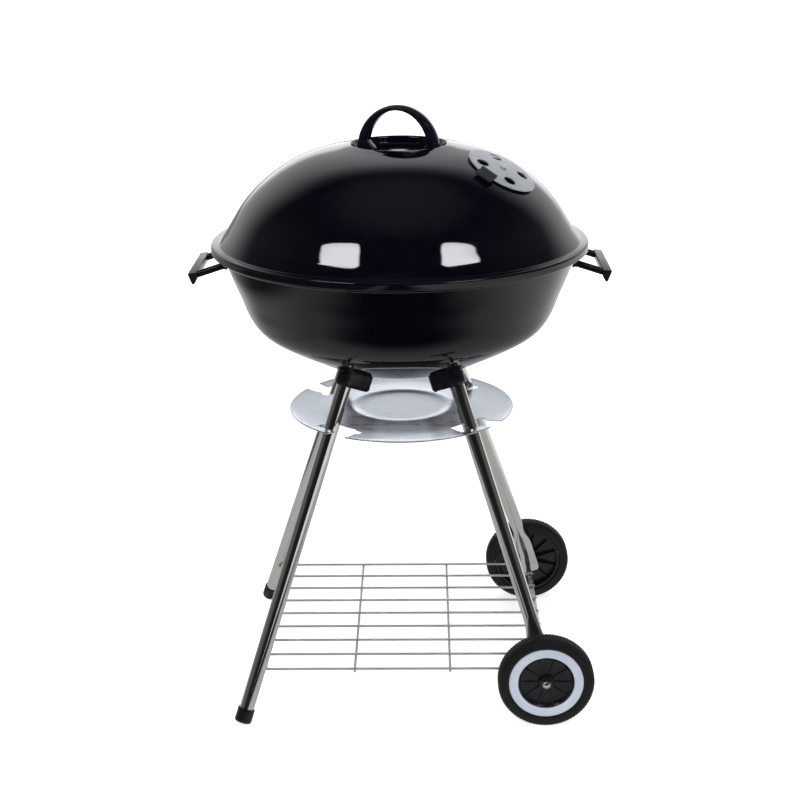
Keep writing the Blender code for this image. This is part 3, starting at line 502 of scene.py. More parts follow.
def catmull(stations, per=8):
    p = [Vector((a, b)) for a, b in stations]
    out = []
    for i in range(len(p) - 1):
        p0 = p[i - 1] if i else p[0] * 2 - p[1]
        p1, p2 = p[i], p[i + 1]
        p3 = p[i + 2] if i + 2 < len(p) else p2 * 2 - p1
        for k in range(per):
            t = k / per
            q = 0.5 * ((2 * p1) + (p2 - p0) * t + (2 * p0 - 5 * p1 + 4 * p2 - p3) * t * t
                       + (3 * p1 - p0 - 3 * p2 + p3) * t ** 3)
            out.append((q.x, q.y))
    out.append(tuple(p[-1]))
    return out


def relax(prof, times=3, keep=1):
    """Even out curvature of a dense profile without moving its ends."""
    p = [Vector(q) for q in prof]
    for _ in range(times):
        q = [v.copy() for v in p]
        for i in range(keep, len(p) - keep):
            q[i] = p[i] * 0.5 + (p[i - 1] + p[i + 1]) * 0.25
        p = q
    return [tuple(v) for v in p]


def offset(prof, d):
    out = []
    n = len(prof)
    for i, (r, z) in enumerate(prof):
        a = Vector(prof[max(i - 1, 0)])
        b = Vector(prof[min(i + 1, n - 1)])
        t = (b - a).normalized()
        out.append((max(r - t.y * d, 0.0), z + t.x * d))
    return out


def put(ob, node, body):
    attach(ob, body)
    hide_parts(node)
    return ob


# ---------------------------------------------------- dimensions, as the CAD
GAP = 0.0004
Z_SKIRT, R_LID, T_LID, LEDGE = 0.5600, 0.2300, 0.0013, 0.5690
R_RECESS, Z_RECESS = 0.0560, 0.6755
LID_YAW = math.radians(-19.5)
VENT_AZ = math.radians(-25.0)
T_BOWL, Z_BOT = 0.0014, 0.4075
BEAD_OUT, BEAD_IN, BEAD_TOP, BEAD_LOW = 0.2250, 0.2168, 0.5670, 0.5556
DISC_R, DISC_T, DISC_SAG, VENT_R, VENT_PITCH, R_LID_VENT = 0.0430, 0.0012, 0.0030, 0.0075, 0.0272, 0.1345
LEG_FOOT, LEG_SLOPE, LEG_R, LEG_WALL = (0.1980, 0.1785), (0.3240, 0.2900), 0.0090, 0.0012
SOCKET_R, SOCKET_LEN, SOCKET_Z, BOLT_R = 0.0128, 0.0250, 0.3985, 0.0030
WHEEL_R, WHEEL_W, WHEEL_Y, AXLE_X, AXLE_Z, AXLE_R = 0.0586, 0.0230, 0.1905, 0.1750, 0.0586, 0.0036
RING_IN, RING_OUT, BLADE_T, BLADE_W = 0.0342, 0.0452, 0.0038, 0.0280
WIRE_R, SHELF_Z, SHELF_PITCH, SHELF_X0, SHELF_X1, HOOK_Y = 0.0015, 0.0608, 0.0384, -0.1690, 0.1640, 0.1475
PAN_Z, PAN_R, PAN_T, SLOT_IN, SLOT_OUT = 0.3530, 0.1411, 0.0010, 0.1010, 0.1262

LID_STATIONS = [(0.2176, 0.5706), (0.2045, 0.5922), (0.1896, 0.6152), (0.1678, 0.6382),
                (0.1356, 0.6612), (0.1020, 0.6756), (0.0620, 0.6842)]
BOWL_STATIONS = [(0.2145, 0.5530), (0.2077, 0.5324), (0.1965, 0.5048), (0.1879, 0.4818),
                 (0.1756, 0.4634), (0.1555, 0.4496), (0.1343, 0.4381), (0.1023, 0.4220),
                 (0.0800, 0.4127), (0.0500, Z_BOT)]


def height_on(prof, r):
    for (r0, z0), (r1, z1) in zip(prof, prof[1:]):
        if r1 <= r <= r0 and r0 > r1:
            t = (r0 - r) / (r0 - r1)
            d = Vector((r1 - r0, z1 - z0)).normalized()
            return z0 + t * (z1 - z0), Vector((d.y, -d.x))
    raise ValueError(r)


# ------------------------------------------------------------------- the lid
BIG = 256
dome = relax(catmull(LID_STATIONS, 12), 10)
skirt = fillet([(R_LID - 0.0006, Z_SKIRT), (R_LID, Z_SKIRT + 0.0006), (R_LID, LEDGE), (0.2194, LEDGE + 0.0006),
                dome[6]], [0.0, 0.0027, 0.0022], 7)
crown = fillet([dome[-3], (R_RECESS + 0.0022, 0.6853), (R_RECESS - 0.0012, Z_RECESS), (0.045, Z_RECESS)], [0.0026, 0.0030], 8)
lid_out = skirt[:-1] + dome[6:-3] + crown + [(0.0395, Z_RECESS - 0.0002), (0.034, Z_RECESS - 0.0007), (0.027, Z_RECESS - 0.0012),
                                             (0.018, Z_RECESS - 0.0018), (0.008, Z_RECESS - 0.0022), (0.0, Z_RECESS - 0.0023)]
lid_in = offset(lid_out, T_LID)
lid_in[-1] = (0.0, Z_RECESS - 0.0023 - T_LID)
lid_in[0] = (R_LID - T_LID - 0.0003, Z_SKIRT)
lid = turned("lid_body", lid_out + lid_in[::-1], "enamel", seg=BIG)

z_v, n_v = height_on(catmull(LID_STATIONS, 16), R_LID_VENT)
n_v = Vector((abs(n_v.x), abs(n_v.y)))
ca, sa = math.cos(LID_YAW), math.sin(LID_YAW)
E_R, E_T = Vector((ca, sa, 0)), Vector((-sa, ca, 0))
cv, sv = math.cos(VENT_AZ), math.sin(VENT_AZ)
V_O = Vector((R_LID_VENT * cv, R_LID_VENT * sv, z_v))
V_N = Vector((n_v.x * cv, n_v.x * sv, n_v.y)).normalized()
V_U = Vector((-sv, cv, 0))
V_W = V_N.cross(V_U).normalized()


def vent_cutters(o, u, v, w, lo, hi, seg=40, r=VENT_R, n=4):
    out = []
    for k in range(n):
        a = math.pi / 4 + k * math.pi / 2
        c = Vector(o) + (u * math.cos(a) + v * math.sin(a)) * VENT_PITCH
        out.append(rod("vent_cut", c + w * lo, c + w * hi, r, seg=seg))
    return out


lid = combine(lid, vent_cutters(V_O, V_U, V_W, V_N, -0.016, 0.006)
              + [rod("c", V_O - V_N * 0.005, V_O + V_N * 0.005, 0.0027, seg=20)]
              + [rod("c", E_R * (s * 0.0455) + Z * (Z_RECESS - 0.006), E_R * (s * 0.0455) + Z * (Z_RECESS + 0.004), 0.0024, seg=20)
                 for s in (1, -1)], "DIFFERENCE", 25)
put(lid, "lid_shell", "lid")


def disc(name, o, u, v, w, sag):
    """Pressed damper plate: turned-up rim, rolled ring, dimple round the rivet."""
    h = lambda r: -sag * (r / DISC_R) ** 2
    top = [(0.0, h(0) + DISC_T), (0.0060, h(0.006) + DISC_T), (0.0072, h(0.0072) + DISC_T + 0.0003)]
    top += [(r, h(r) + DISC_T) for r in (0.0086, 0.012, 0.018, 0.024, 0.030, 0.0345)]
    top += [(0.0355, h(0.0355) + DISC_T - 0.0002), (0.0366, h(0.0366) + DISC_T - 0.0002), (0.0378, h(0.0378) + DISC_T - 0.0001),
            (0.0390, h(0.0390) + DISC_T + 0.0001), (0.0404, h(0.0404) + DISC_T + 0.0001),
            (0.0416, h(0.0416) + DISC_T), (0.0426, h(0.0426) + DISC_T - 0.0001), (DISC_R, h(DISC_R) + DISC_T - 0.0005)]
    low = [(DISC_R, h(DISC_R) + 0.0003), (DISC_R - 0.0003, h(DISC_R))] + [(r, h(r)) for r in (0.036, 0.024, 0.012)] + [(0.0, 0.0)]
    ob = turned(name, top + low, "damper_alu", seg=144, origin=o, axis=w, closed=False, angle=40)
    cutters = vent_cutters(o, u, v, w, -0.006, 0.006)
    return combine(ob, cutters + [rod("c", Vector(o) - w * 0.004, Vector(o) + w * 0.004, 0.0027, seg=20)], "DIFFERENCE", 28)


D_O = V_O + V_N * 0.0008
put(disc("lid_damper_plate", D_O, V_U, V_W, V_N, DISC_SAG), "lid_damper_disc", "lid_damper")


def rivet(name, o, w, lo, hi, node, body):
    prof = [(0.0, hi + 0.0014), (0.0012, hi + 0.00135), (0.0024, hi + 0.0011), (0.0034, hi + 0.0007), (0.0040, hi + 0.0003), (0.0042, hi + 0.0001), (0.0041, hi),
            (0.0023, hi), (0.0023, lo), (0.0045, lo), (0.0046, lo - 0.0003), (0.0040, lo - 0.0011), (0.0030, lo - 0.0012), (0.0, lo - 0.0012)]
    return put(turned(name, prof, "damper_alu", seg=40, origin=o, axis=w, closed=False), node, body)


rivet("lid_rivet", V_O, V_N, -T_LID - 0.0018, 0.0008 + DISC_T + GAP, "lid_damper_rivet", "lid")


def grip_tab(name, o, tu, tv, w, pts, width, node, body, ribs=()):
    rings = [[Vector(o) + tu * a + w * b + tv * s for a, b in pts] for s in (-width / 2, width / 2)]
    ob = loft(name, rings, "tab_plastic", angle=25)
    bevel(ob, 0.0005, 3, 20, 50)
    return put(ob, node, body)


TAB_AZ = math.radians(178.0)
tu = (V_U * math.cos(TAB_AZ) + V_W * math.sin(TAB_AZ)).normalized()
tv = V_N.cross(tu).normalized()
h_edge = -DISC_SAG + DISC_T
grip_tab("lid_damper_lever", D_O, tu, tv, V_N,
         [(0.0392, h_edge + 0.0018), (0.0392, 0.0042), (0.0432, 0.0040), (0.0440, 0.0016), (0.0552, -0.0004),
          (0.0552, -0.0030), (0.0436, -0.0014), (0.0436, h_edge + 0.0012)], 0.0210, "lid_damper_tab", "lid_damper")

# handle arch
H_Z = Z_RECESS + GAP
HANDLE_A, HANDLE_B, HANDLE_TOP, HANDLE_W = 0.0520, 0.0400, 0.7300, 0.0180


def arch_ring(t):
    h_out = HANDLE_TOP - H_Z
    h_in = h_out - 0.0058
    co, si = math.cos(t), max(math.sin(t), 0.0)
    po = E_R * (HANDLE_A * co) + Vector((0, 0, H_Z + h_out * si))
    pi_ = E_R * (HANDLE_B * co) + Vector((0, 0, H_Z + h_in * si))
    d = (po - pi_).normalized()
    th = (po - pi_).length
    hw = HANDLE_W / 2
    # section in (across, outward): soft inner corners, raised middle band outside
    e = 0.0016
    sec = [(-hw + 0.0016, 0.0), (hw - 0.0016, 0.0), (hw - 0.0005, 0.0004), (hw, 0.0014), (hw, th - 0.0034), (hw - 0.0003, th - 0.0024),
           (hw - 0.0012, th - 0.0017), (hw - 0.0030, th - 0.0014), (hw - 0.0038, th - 0.0012), (hw - 0.0044, th - 0.0004),
           (hw - 0.0052, th), (-hw + 0.0052, th), (-hw + 0.0044, th - 0.0004), (-hw + 0.0038, th - 0.0012),
           (-hw + 0.0030, th - 0.0014), (-hw + 0.0012, th - 0.0017), (-hw + 0.0003, th - 0.0024), (-hw, th - 0.0034),
           (-hw, 0.0014), (-hw + 0.0005, 0.0004)]
    return [pi_ + E_T * a + d * b for a, b in sec]


handle = loft("lid_grip", [arch_ring(math.pi * k / 96) for k in range(97)], "phenolic", angle=45)
extras, holes = [], []
for s in (1, -1):
    base = Vector((0, 0, H_Z))
    # foot gusset: a curved web inside each foot
    n = 10
    prof = [(0.0420, 0.0), (0.0305, 0.0), (0.0305, 0.0016)]
    for k in range(n + 1):
        a = math.pi / 2 * k / n
        prof.append((0.0308 + 0.0092 * math.sin(a) ** 1.0 * (k / n), 0.0018 + 0.0100 * (1 - math.cos(a))))
    prof.append((0.0420, 0.0118))
    rings = [[base + E_R * (s * a) + E_T * q + Z * b for a, b in prof] for q in (-0.0066, 0.0066)]
    extras.append(bevel(loft("g", rings), 0.0006, 2, 30))
    c = E_R * (s * 0.0455)
    holes.append(rod("p", c + Z * (H_Z - 0.004), c + Z * (H_Z + 0.0125), 0.0023, seg=20))
handle = combine(handle, extras, "UNION", 40)
handle = combine(handle, holes, "DIFFERENCE", 40)
put(handle, "lid_handle", "lid")


def pan_screw(name, o, axis, r_head, h_head, r, length, node, body, mat="zinc", tip=True, cross=True):
    """Pan head screw: head from 0 to h_head along axis, threaded shank the other way."""
    prof = [(0.0, h_head)]
    for k in range(1, 7):
        a = math.pi / 2 * k / 6
        prof.append((r_head * math.sin(a), h_head * (0.35 + 0.65 * math.cos(a))))
    prof += [(r_head, 0.0002), (r_head - 0.0002, 0.0), (r, 0.0)]
    pitch = 0.0008 if r < 0.0025 else 0.0010
    turns = int(length / pitch)
    for k in range(turns):
        z0 = -0.0005 - k * (length - 0.001) / turns
        prof += [(r, z0), (r, z0 - pitch * 0.25), (r - pitch * 0.45, z0 - pitch * 0.5), (r - pitch * 0.45, z0 - pitch * 0.62)]
    prof += [(r * 0.8, -length + 0.0003), (0.0, -length)]
    ob = turned(name, prof, mat, seg=28, origin=o, axis=axis, closed=False, angle=35)
    if cross:
        u, v, w = frame_of(axis)
        o = Vector(o)
        cuts = []
        for p, q in ((u, v), (v, u)):
            wd, ln = r_head * 0.13, r_head * 0.62
            rings = [[o + w * hh + p * (a * ln * k) + q * (b * wd * k) for a, b in ((-1, -1), (1, -1), (1, 1), (-1, 1))]
                     for hh, k in ((h_head * 0.35, 0.55), (h_head * 1.2, 1.1))]
            cuts.append(loft("x", rings))
        ob = combine(ob, cuts, "DIFFERENCE", 35)
    return put(ob, node, body)


zt = Z_RECESS - T_LID - GAP
for s, tag in ((1, "right"), (-1, "left")):
    pan_screw("handle_screw_" + tag, E_R * (s * 0.0455) + Z * zt, -Z, 0.0046, 0.0032, 0.0019, H_Z + 0.0115 - zt,
              "lid_handle_screw_" + tag, "lid")

# ------------------------------------------------------------------ the bowl
wall = relax(catmull(BOWL_STATIONS, 12), 14)
wall = wall + [(0.035, Z_BOT), (0.018, Z_BOT), (0.0, Z_BOT)]
wall_in = offset(wall, -T_BOWL)
wall_in[-1] = (0.0, Z_BOT + T_BOWL)
top_w = wall[0]
bead = fillet([wall[1], (top_w[0] + 0.0006, BEAD_LOW), (BEAD_OUT, BEAD_LOW), (BEAD_OUT, BEAD_TOP), (BEAD_IN - 0.0022, BEAD_TOP),
               (BEAD_IN - 0.0030, BEAD_TOP - 0.0040), wall_in[1]], [0.0014, 0.0034, 0.0036, 0.0022, 0.0020], 8)
bowl = turned("bowl_body", wall[:1:-1] + bead + wall_in[2:], "enamel", seg=BIG, closed=False)
B_O = Z * Z_BOT
bowl = combine(bowl, vent_cutters(B_O, X, Y, Z, -0.005, 0.006) + [rod("c", B_O - Z * 0.004, B_O + Z * 0.005, 0.0027, seg=20)],
               "DIFFERENCE", 25)

K_O = B_O - Z * 0.0007
put(disc("bottom_damper_plate", K_O, X, -Y, -Z, 0.0), "bottom_damper_disc", "bottom_damper")
rivet("bottom_rivet", B_O, -Z, -T_BOWL - 0.0006, 0.0007 + DISC_T + GAP, "bottom_damper_rivet", "frame")
KT = math.radians(-20.0)
ku = Vector((math.cos(KT), math.sin(KT), 0))
kv = Z.cross(ku)
kz = -(DISC_T + 0.0006 + GAP)
grip_tab("bottom_damper_lever", K_O, ku, kv, Z,
         [(0.0330, kz - 0.0003), (0.0330, kz - 0.0024), (0.0442, kz - 0.0026), (0.0480, kz - 0.0265),
          (0.0508, kz - 0.0265), (0.0476, kz - 0.0003)], 0.0225, "bottom_damper_tab", "bottom_damper")

# -------------------------------------------------------------- legs
NORM = math.sqrt(1 + LEG_SLOPE[0] ** 2 + LEG_SLOPE[1] ** 2)
fine_bowl = catmull(BOWL_STATIONS, 16) + [(0.0, Z_BOT)]
shadow_prof = [(0.0, Z_BOT - 0.0006)] + offset(wall, 0.0006)[:-1][::-1] + [(0.2151, 0.60), (0.0, 0.60)]


def smoothstep(t):
    t = max(0.0, min(1.0, t))
    return t * t * (3 - 2 * t)


def leg_corner(sx, sy, tag):
    global bowl
    foot = Vector((sx * LEG_FOOT[0], sy * LEG_FOOT[1], 0))
    up = Vector((-sx * LEG_SLOPE[0], -sy * LEG_SLOPE[1], 1)) / NORM
    at = lambda z: foot + up * (z * NORM)
    zb = 0.40
    for _ in range(60):
        p = at(zb)
        h, _n = height_on(fine_bowl, math.hypot(p.x, p.y))
        zb += (h - zb) * 0.5
    top = at(zb) - up * 0.0052
    hub = at(zb)
    inward = Vector((-hub.x, -hub.y, 0))
    inward = (inward - up * inward.dot(up)).normalized()
    side = up.cross(inward).normalized()
    n = 24
    outline = []
    for k in range(n + 1):
        a = -math.pi / 2 + math.pi * k / n
        outline.append((SOCKET_LEN + SOCKET_R * math.cos(a), SOCKET_R * math.sin(a)))
    for k in range(n + 1):
        a = math.pi / 2 + math.pi * k / n
        outline.append((SOCKET_R * math.cos(a), SOCKET_R * math.sin(a)))
    mouth = at(SOCKET_Z)

    def shrink(d):
        res = []
        for a, b in outline:
            cx = min(max(a, 0.0), SOCKET_LEN)
            k = (SOCKET_R - d) / SOCKET_R
            res.append((cx + (a - cx) * k, b * k))
        return res
    levels = []
    rb = 0.0042
    for k in range(9):
        a = math.pi / 2 * k / 8
        levels.append((rb * (1 - math.cos(a)), rb * (1 - math.sin(a))))
    levels += [(0.0090, 0.0), (0.0093, 0.00035), (0.0099, 0.00035), (0.0102, 0.0), (0.0340, 0.0)]
    rings = [[mouth + inward * a + side * b + up * s for a, b in shrink(d)] for s, d in levels]
    block = loft("socket_" + tag, rings, "black_plastic", angle=40)
    cover = turned("bowl_shadow", shadow_prof, None, seg=128, closed=False)
    block = combine(block, [cover, rod("b", mouth - up * 0.01, top + up * GAP, LEG_R + 0.0004, seg=48),
                            rod("b", mouth, at(zb) + up * 0.01, BOLT_R + 0.0004, seg=24)], "DIFFERENCE", 35)
    put(block, "leg_socket_" + tag, "frame")
    bowl = combine(bowl, [rod("c", at(zb) - up * 0.006, at(zb) + up * 0.008, BOLT_R + 0.0004, seg=24)], "DIFFERENCE", 25)
    hb = zb + (T_BOWL + 0.0009) / NORM
    pan_screw("socket_bolt_" + tag, at(hb), up, 0.0060, 0.0036, BOLT_R, 0.0212, "leg_bolt_" + tag, "frame")
    ins_top = top - up * 0.0012
    ri, ro = BOLT_R + GAP, LEG_R - LEG_WALL - GAP
    put(turned("insert_" + tag, [(ro, -0.0002), (ro, -0.0040), (ro - 0.0004, -0.0044), (ro - 0.0004, -0.0076), (ro, -0.0080),
                                 (ro, -0.0120), (ri, -0.0120), (ri, 0.0), (ro - 0.0003, 0.0)],
               "zinc", seg=48, origin=ins_top, axis=up, closed=True), "leg_insert_" + tag, "frame")
    u, v, w = frame_of(up)
    if sx < 0:
        low = foot + up * 0.0062
        n = 64
        rings = [ring_on(low, u, v, LEG_R - 0.0003, n), ring_on(low + up * 0.0004, u, v, LEG_R, n)]
        rings += [ring_on(low.lerp(top, k / 10), u, v, LEG_R, n) for k in range(1, 10)]
        rings += [ring_on(top - up * 0.0004, u, v, LEG_R, n), ring_on(top, u, v, LEG_R - 0.0003, n),
                  ring_on(top, u, v, LEG_R - LEG_WALL, n), ring_on(low, u, v, LEG_R - LEG_WALL, n)]
        leg = loft("tube_" + tag, rings, "chrome", closed=True, angle=40)
        ws = at(SHELF_Z)
        leg = combine(leg, [rod("h", Vector((ws.x, sy * 0.146, SHELF_Z)), Vector((ws.x, ws.y - sy * 0.001, SHELF_Z)), WIRE_R + 0.0006, seg=24)],
                      "DIFFERENCE", 30)
        put(leg, "leg_" + tag, "frame")
        # ribbed cap with rounded lip, worn flat on the ground side
        R0, s0, s1 = 0.0106, 0.0016, 0.0198
        prof = [(0.0, 0.0), (0.0080, 0.0), (0.0094, 0.0004), (0.0103, 0.0012), (R0, 0.0024)]
        for k in range(5):
            q = 0.0042 + k * 0.0024
            prof += [(R0, q), (R0 - 0.00035, q + 0.0003), (R0 - 0.00035, q + 0.0008), (R0, q + 0.0011)]
        prof += [(R0, s1 - s0 - 0.0010), (R0 - 0.0003, s1 - s0 - 0.0003), (R0 - 0.0009, s1 - s0), (0.0, s1 - s0)]
        cap = turned("cap_" + tag, prof, "black_plastic", seg=64, origin=foot + up * s0, axis=up, closed=False, angle=40)
        b = 0.05
        cut = loft("f", [[Vector((foot.x + a * b, foot.y + c * b, z)) for a, c in ((-1, -1), (1, -1), (1, 1), (-1, 1))] for z in (-0.03, 0.0)])
        cap = combine(cap, [cut, rod("b", foot + up * (0.0062 - GAP), foot + up * 0.03, LEG_R + 0.0003, seg=48)], "DIFFERENCE", 35)
        put(cap, "foot_cap_" + tag, "frame")
    else:
        n = 64
        end_z = AXLE_Z - 0.0125
        flat = Vector((up.x, 0, up.z)).normalized()
        across = flat.cross(Y).normalized() * -1
        blade_y = sy * 0.1615
        z_round = 0.128
        rings = []

        def ring_for(z, t, hw_scale=1.0):
            bl = Vector((AXLE_X + flat.x / flat.z * (z - AXLE_Z), blade_y, z))
            q = at(z)
            p = q.lerp(bl, t)
            cu = (across - up * across.dot(up) * (1 - t)).normalized()
            cv = up.cross(cu).normalized()
            if cv.dot(Y * sy) < 0:
                cv = -cv
            cv = cv.lerp(Y * sy, t).normalized()
            hw = (LEG_R + (BLADE_W / 2 - LEG_R) * smoothstep(t * 1.1)) * hw_scale
            ht = LEG_R + (BLADE_T / 2 - LEG_R) * t
            pw = 2.0 + 2.6 * t
            ring = []
            for k in range(n):
                a = 2 * math.pi * (k + 0.5) / n
                c, s = math.cos(a), math.sin(a)
                ring.append(p + cu * (hw * math.copysign(abs(c) ** (2 / pw), c)) + cv * (ht * math.copysign(abs(s) ** (2 / pw), s)))
            return ring, cu, cv
        # clipped corners at the blade's end
        for z, sc in ((end_z, 0.80), (end_z + 0.0008, 0.88), (end_z + 0.0022, 0.95), (end_z + 0.0040, 0.99), (end_z + 0.0085, 1.0), (AXLE_Z, 1.0), (AXLE_Z + 0.010, 1.0)):
            rings.append(ring_for(z, 1.0, sc)[0])
        zs = [AXLE_Z + 0.0130 + (z_round - AXLE_Z - 0.0130) * k / 22 for k in range(23)]
        for z in zs:
            t = 1.0 - smoothstep((z - zs[0]) / (z_round - zs[0]))
            ring, cu0, cv0 = ring_for(z, t)
            rings.append(ring)
        rr = lambda p, r: [p + cu0 * (r * math.cos(2 * math.pi * (k + 0.5) / n)) + cv0 * (r * math.sin(2 * math.pi * (k + 0.5) / n)) for k in range(n)]
        for k in range(1, 9):
            rings.append(rr(at(z_round).lerp(top, k / 9), LEG_R))
        rings += [rr(top - up * 0.0004, LEG_R), rr(top, LEG_R - 0.0003), rr(top, LEG_R - LEG_WALL), rr(at(z_round + 0.012), LEG_R - LEG_WALL)]
        leg = loft("tube_" + tag, rings, "chrome", angle=42)
        leg = combine(leg, [rod("h", Vector((AXLE_X, blade_y - 0.006, AXLE_Z)), Vector((AXLE_X, blade_y + 0.006, AXLE_Z)), AXLE_R + 0.0004, seg=32)],
                      "DIFFERENCE", 42)
        put(leg, "leg_" + tag, "frame")


for sx, sy, tag in ((-1, -1, "front_left"), (1, -1, "front_right"), (-1, 1, "rear_left"), (1, 1, "rear_right")):
    leg_corner(sx, sy, tag)

# ------------------------------------------------------------- side handles
GRIP_Y, ARM_Y, ARM_R, ARM_ROOT_Z, SCREW_R = 0.0560, 0.0450, 0.0042, 0.5475, 0.0020
ARM_TILT = math.radians(18.0)
for s, tag in ((1, "right"), (-1, "left")):
    ex = Vector((s, 0, 0))
    dirn = (ex * math.cos(ARM_TILT) - Z * math.sin(ARM_TILT)).normalized()
    for (r0, z0), (r1, z1) in zip(fine_bowl, fine_bowl[1:]):
        if z1 <= ARM_ROOT_Z <= z0:
            rw = r0 + (r1 - r0) * (z0 - ARM_ROOT_Z) / (z0 - z1)
            break
    xr = math.sqrt(rw * rw - ARM_Y * ARM_Y)
    # wedge section with four shallow flutes along its broad top
    sec = [(0.2430, 0.5384), (0.2434, 0.5394)]
    x0, x1 = 0.2440, 0.2532
    for k in range(4):
        a = x0 + (x1 - x0) * k / 4
        d = (x1 - x0) / 4
        sec += [(a + d * 0.10, 0.54035 - 0.0004 * k * 0.5), (a + d * 0.50, 0.54045 - 0.0004 * k * 0.5),
                (a + d * 0.72, 0.5399 - 0.0004 * k * 0.5), (a + d * 0.86, 0.5399 - 0.0004 * k * 0.5)]
    sec += [(0.2538, 0.5392), (0.2543, 0.5384), (0.2541, 0.5372), (0.2500, 0.5266), (0.2494, 0.5256), (0.2484, 0.5251),
            (0.2472, 0.5256), (0.2464, 0.5264), (0.2446, 0.5292), (0.2436, 0.5318), (0.2431, 0.5350)]
    ys = [(-GRIP_Y, 0.90), (-GRIP_Y + 0.0004, 0.96), (-GRIP_Y + 0.0012, 1.0), (GRIP_Y - 0.0012, 1.0), (GRIP_Y - 0.0004, 0.96), (GRIP_Y, 0.90)]
    cx, cz = 0.2486, 0.5345
    rings = [[Vector((s * (cx + (a - cx) * k), y, cz + (b - cz) * k)) for a, b in sec] for y, k in ys]
    grip = loft("side_grip_" + tag, rings, "phenolic", angle=24)
    parts, cuts = [], []
    for sy in (-1, 1):
        root = Vector((s * xr, sy * ARM_Y, ARM_ROOT_Z))
        nrm = Vector((s * xr, sy * ARM_Y, 0)).normalized() * math.cos(ARM_TILT) - Z * math.sin(ARM_TILT)
        base = root + nrm * 0.0010
        tip = base + dirn * ((0.2450 - abs(base.x)) / math.cos(ARM_TILT))
        parts.append(rod("arm", base + dirn * 0.0006, tip, ARM_R, seg=40))
        prof = [(0.0, 0.0), (0.0062, 0.0), (0.0062, 0.0012), (0.0059, 0.0019), (0.0052, 0.0026), (0.0046, 0.0036), (0.0042, 0.0050), (0.0, 0.0050)]
        parts.append(turned("pad", prof, None, seg=40, origin=base, axis=nrm, closed=False))
        cuts.append(rod("b", base - nrm * 0.004, base + nrm * 0.0090, SCREW_R + 0.0003, seg=20))
        bowl = combine(bowl, [rod("h", root - nrm * 0.008, root + nrm * 0.006, SCREW_R + 0.0004, seg=20)], "DIFFERENCE", 25)
        nm = "%s_%s" % (tag, "front" if sy < 0 else "rear")
        pan_screw("grip_screw_" + nm, root - nrm * (T_BOWL + 0.0016), -nrm, 0.0046, 0.0030, SCREW_R, 0.0106, "side_handle_screw_" + nm, "frame")
    grip = combine(grip, parts, "UNION", 35)
    grip = combine(grip, cuts, "DIFFERENCE", 35)
    # the lighter second material goes on the upward-facing faces only: a painted highlight on the grip's top
    grip.data.materials.append(_mats["phenolic_grip_painted_highlight"])
    for p in grip.data.polygons:
        if p.normal.z > 0.55 and abs(p.center.x) > 0.2434:
            p.material_index = 1
    put(grip, "side_handle_" + tag, "frame")
put(bowl, "bowl_shell", "frame")

# ------------------------------------------------------------------- grates
for k in range(4):
    a = math.radians(45 + 90 * k)
    er, et = Vector((math.cos(a), math.sin(a), 0)), Vector((-math.sin(a), math.cos(a), 0))
    pts = [(0.2098, 0.5405), (0.1940, 0.5405), (0.1940, 0.5391), (0.2058, 0.5391), (0.1942, 0.5105),
           (0.1956, 0.5099), (0.2070, 0.5380), (0.2090, 0.5391)]
    pts = [(r - 0.0018, z) for r, z in pts]
    rings = [[er * r + et * q + Z * z for r, z in pts] for q in (-0.008, 0.008)]
    ob = bevel(loft("bracket_%d" % (k + 1), rings, "zinc", angle=20), 0.0003, 2, 30, 40)
    put(ob, "grate_bracket_%d" % (k + 1), "frame")


def circle(r, z, n=160):
    return [Vector((r * math.cos(2 * math.pi * k / n), r * math.sin(2 * math.pi * k / n), z)) for k in range(n)]


def grate(name, z, radius, ring_r, bar_r, count, cross, cross_r, node, body):
    runs = [(circle(radius, z), ring_r, True)]
    for i in range(count):
        y = radius * 0.965 * (2 * i / (count - 1) - 1)
        h = math.sqrt(radius ** 2 - y ** 2)
        runs.append(([Vector((-h, y, z + 0.0002)), Vector((h, y, z + 0.0002))], bar_r, False))
    for x in cross:
        h = math.sqrt(radius ** 2 - x ** 2)
        runs.append(([Vector((x, -h, z - bar_r - cross_r * 0.75)), Vector((x, h, z - bar_r - cross_r * 0.75))], cross_r, False))
    return put(tubes(name, runs, "grate_chrome", 14), node, body)


grate("cooking_grid", 0.5440, 0.2026, 0.0024, 0.0016, 29, (-0.110, 0.0, 0.110), 0.0016, "cooking_grate", "cooking_grate")
grate("charcoal_grid", 0.4600, 0.1576, 0.0028, 0.0024, 13, (-0.080, 0.0, 0.080), 0.0022, "charcoal_grate", "charcoal_grate")

# -------------------------------------------------------------- ash catcher
pan_top = relax(catmull([(0.0001, PAN_Z - 0.0030), (0.0300, PAN_Z - 0.0029), (0.0480, PAN_Z - 0.0026), (0.0545, PAN_Z - 0.0016), (0.0592, PAN_Z + 0.0001),
                   (0.0622, PAN_Z + 0.0006), (0.0665, PAN_Z + 0.0002), (0.0740, PAN_Z - 0.0007), (0.0880, PAN_Z - 0.0017), (0.1050, PAN_Z - 0.0022),
                   (0.1250, PAN_Z - 0.0012), (0.1350, PAN_Z - 0.0001), (0.1388, PAN_Z + 0.0008)], 6), 3)
pan_top[0] = (0.0, PAN_Z - 0.0030)
edge = [(0.1398, PAN_Z + 0.0012), (0.1406, PAN_Z + 0.0013), (PAN_R, PAN_Z + 0.0008), (PAN_R, PAN_Z + 0.0002), (0.1406, PAN_Z - 0.0003), (0.1396, PAN_Z - 0.0004)]
pan_low = [(r, z - PAN_T) for r, z in pan_top[::-1]]
pan = turned("ash_dish", pan_top + edge + pan_low, "pan_steel", seg=256, closed=False, angle=35)


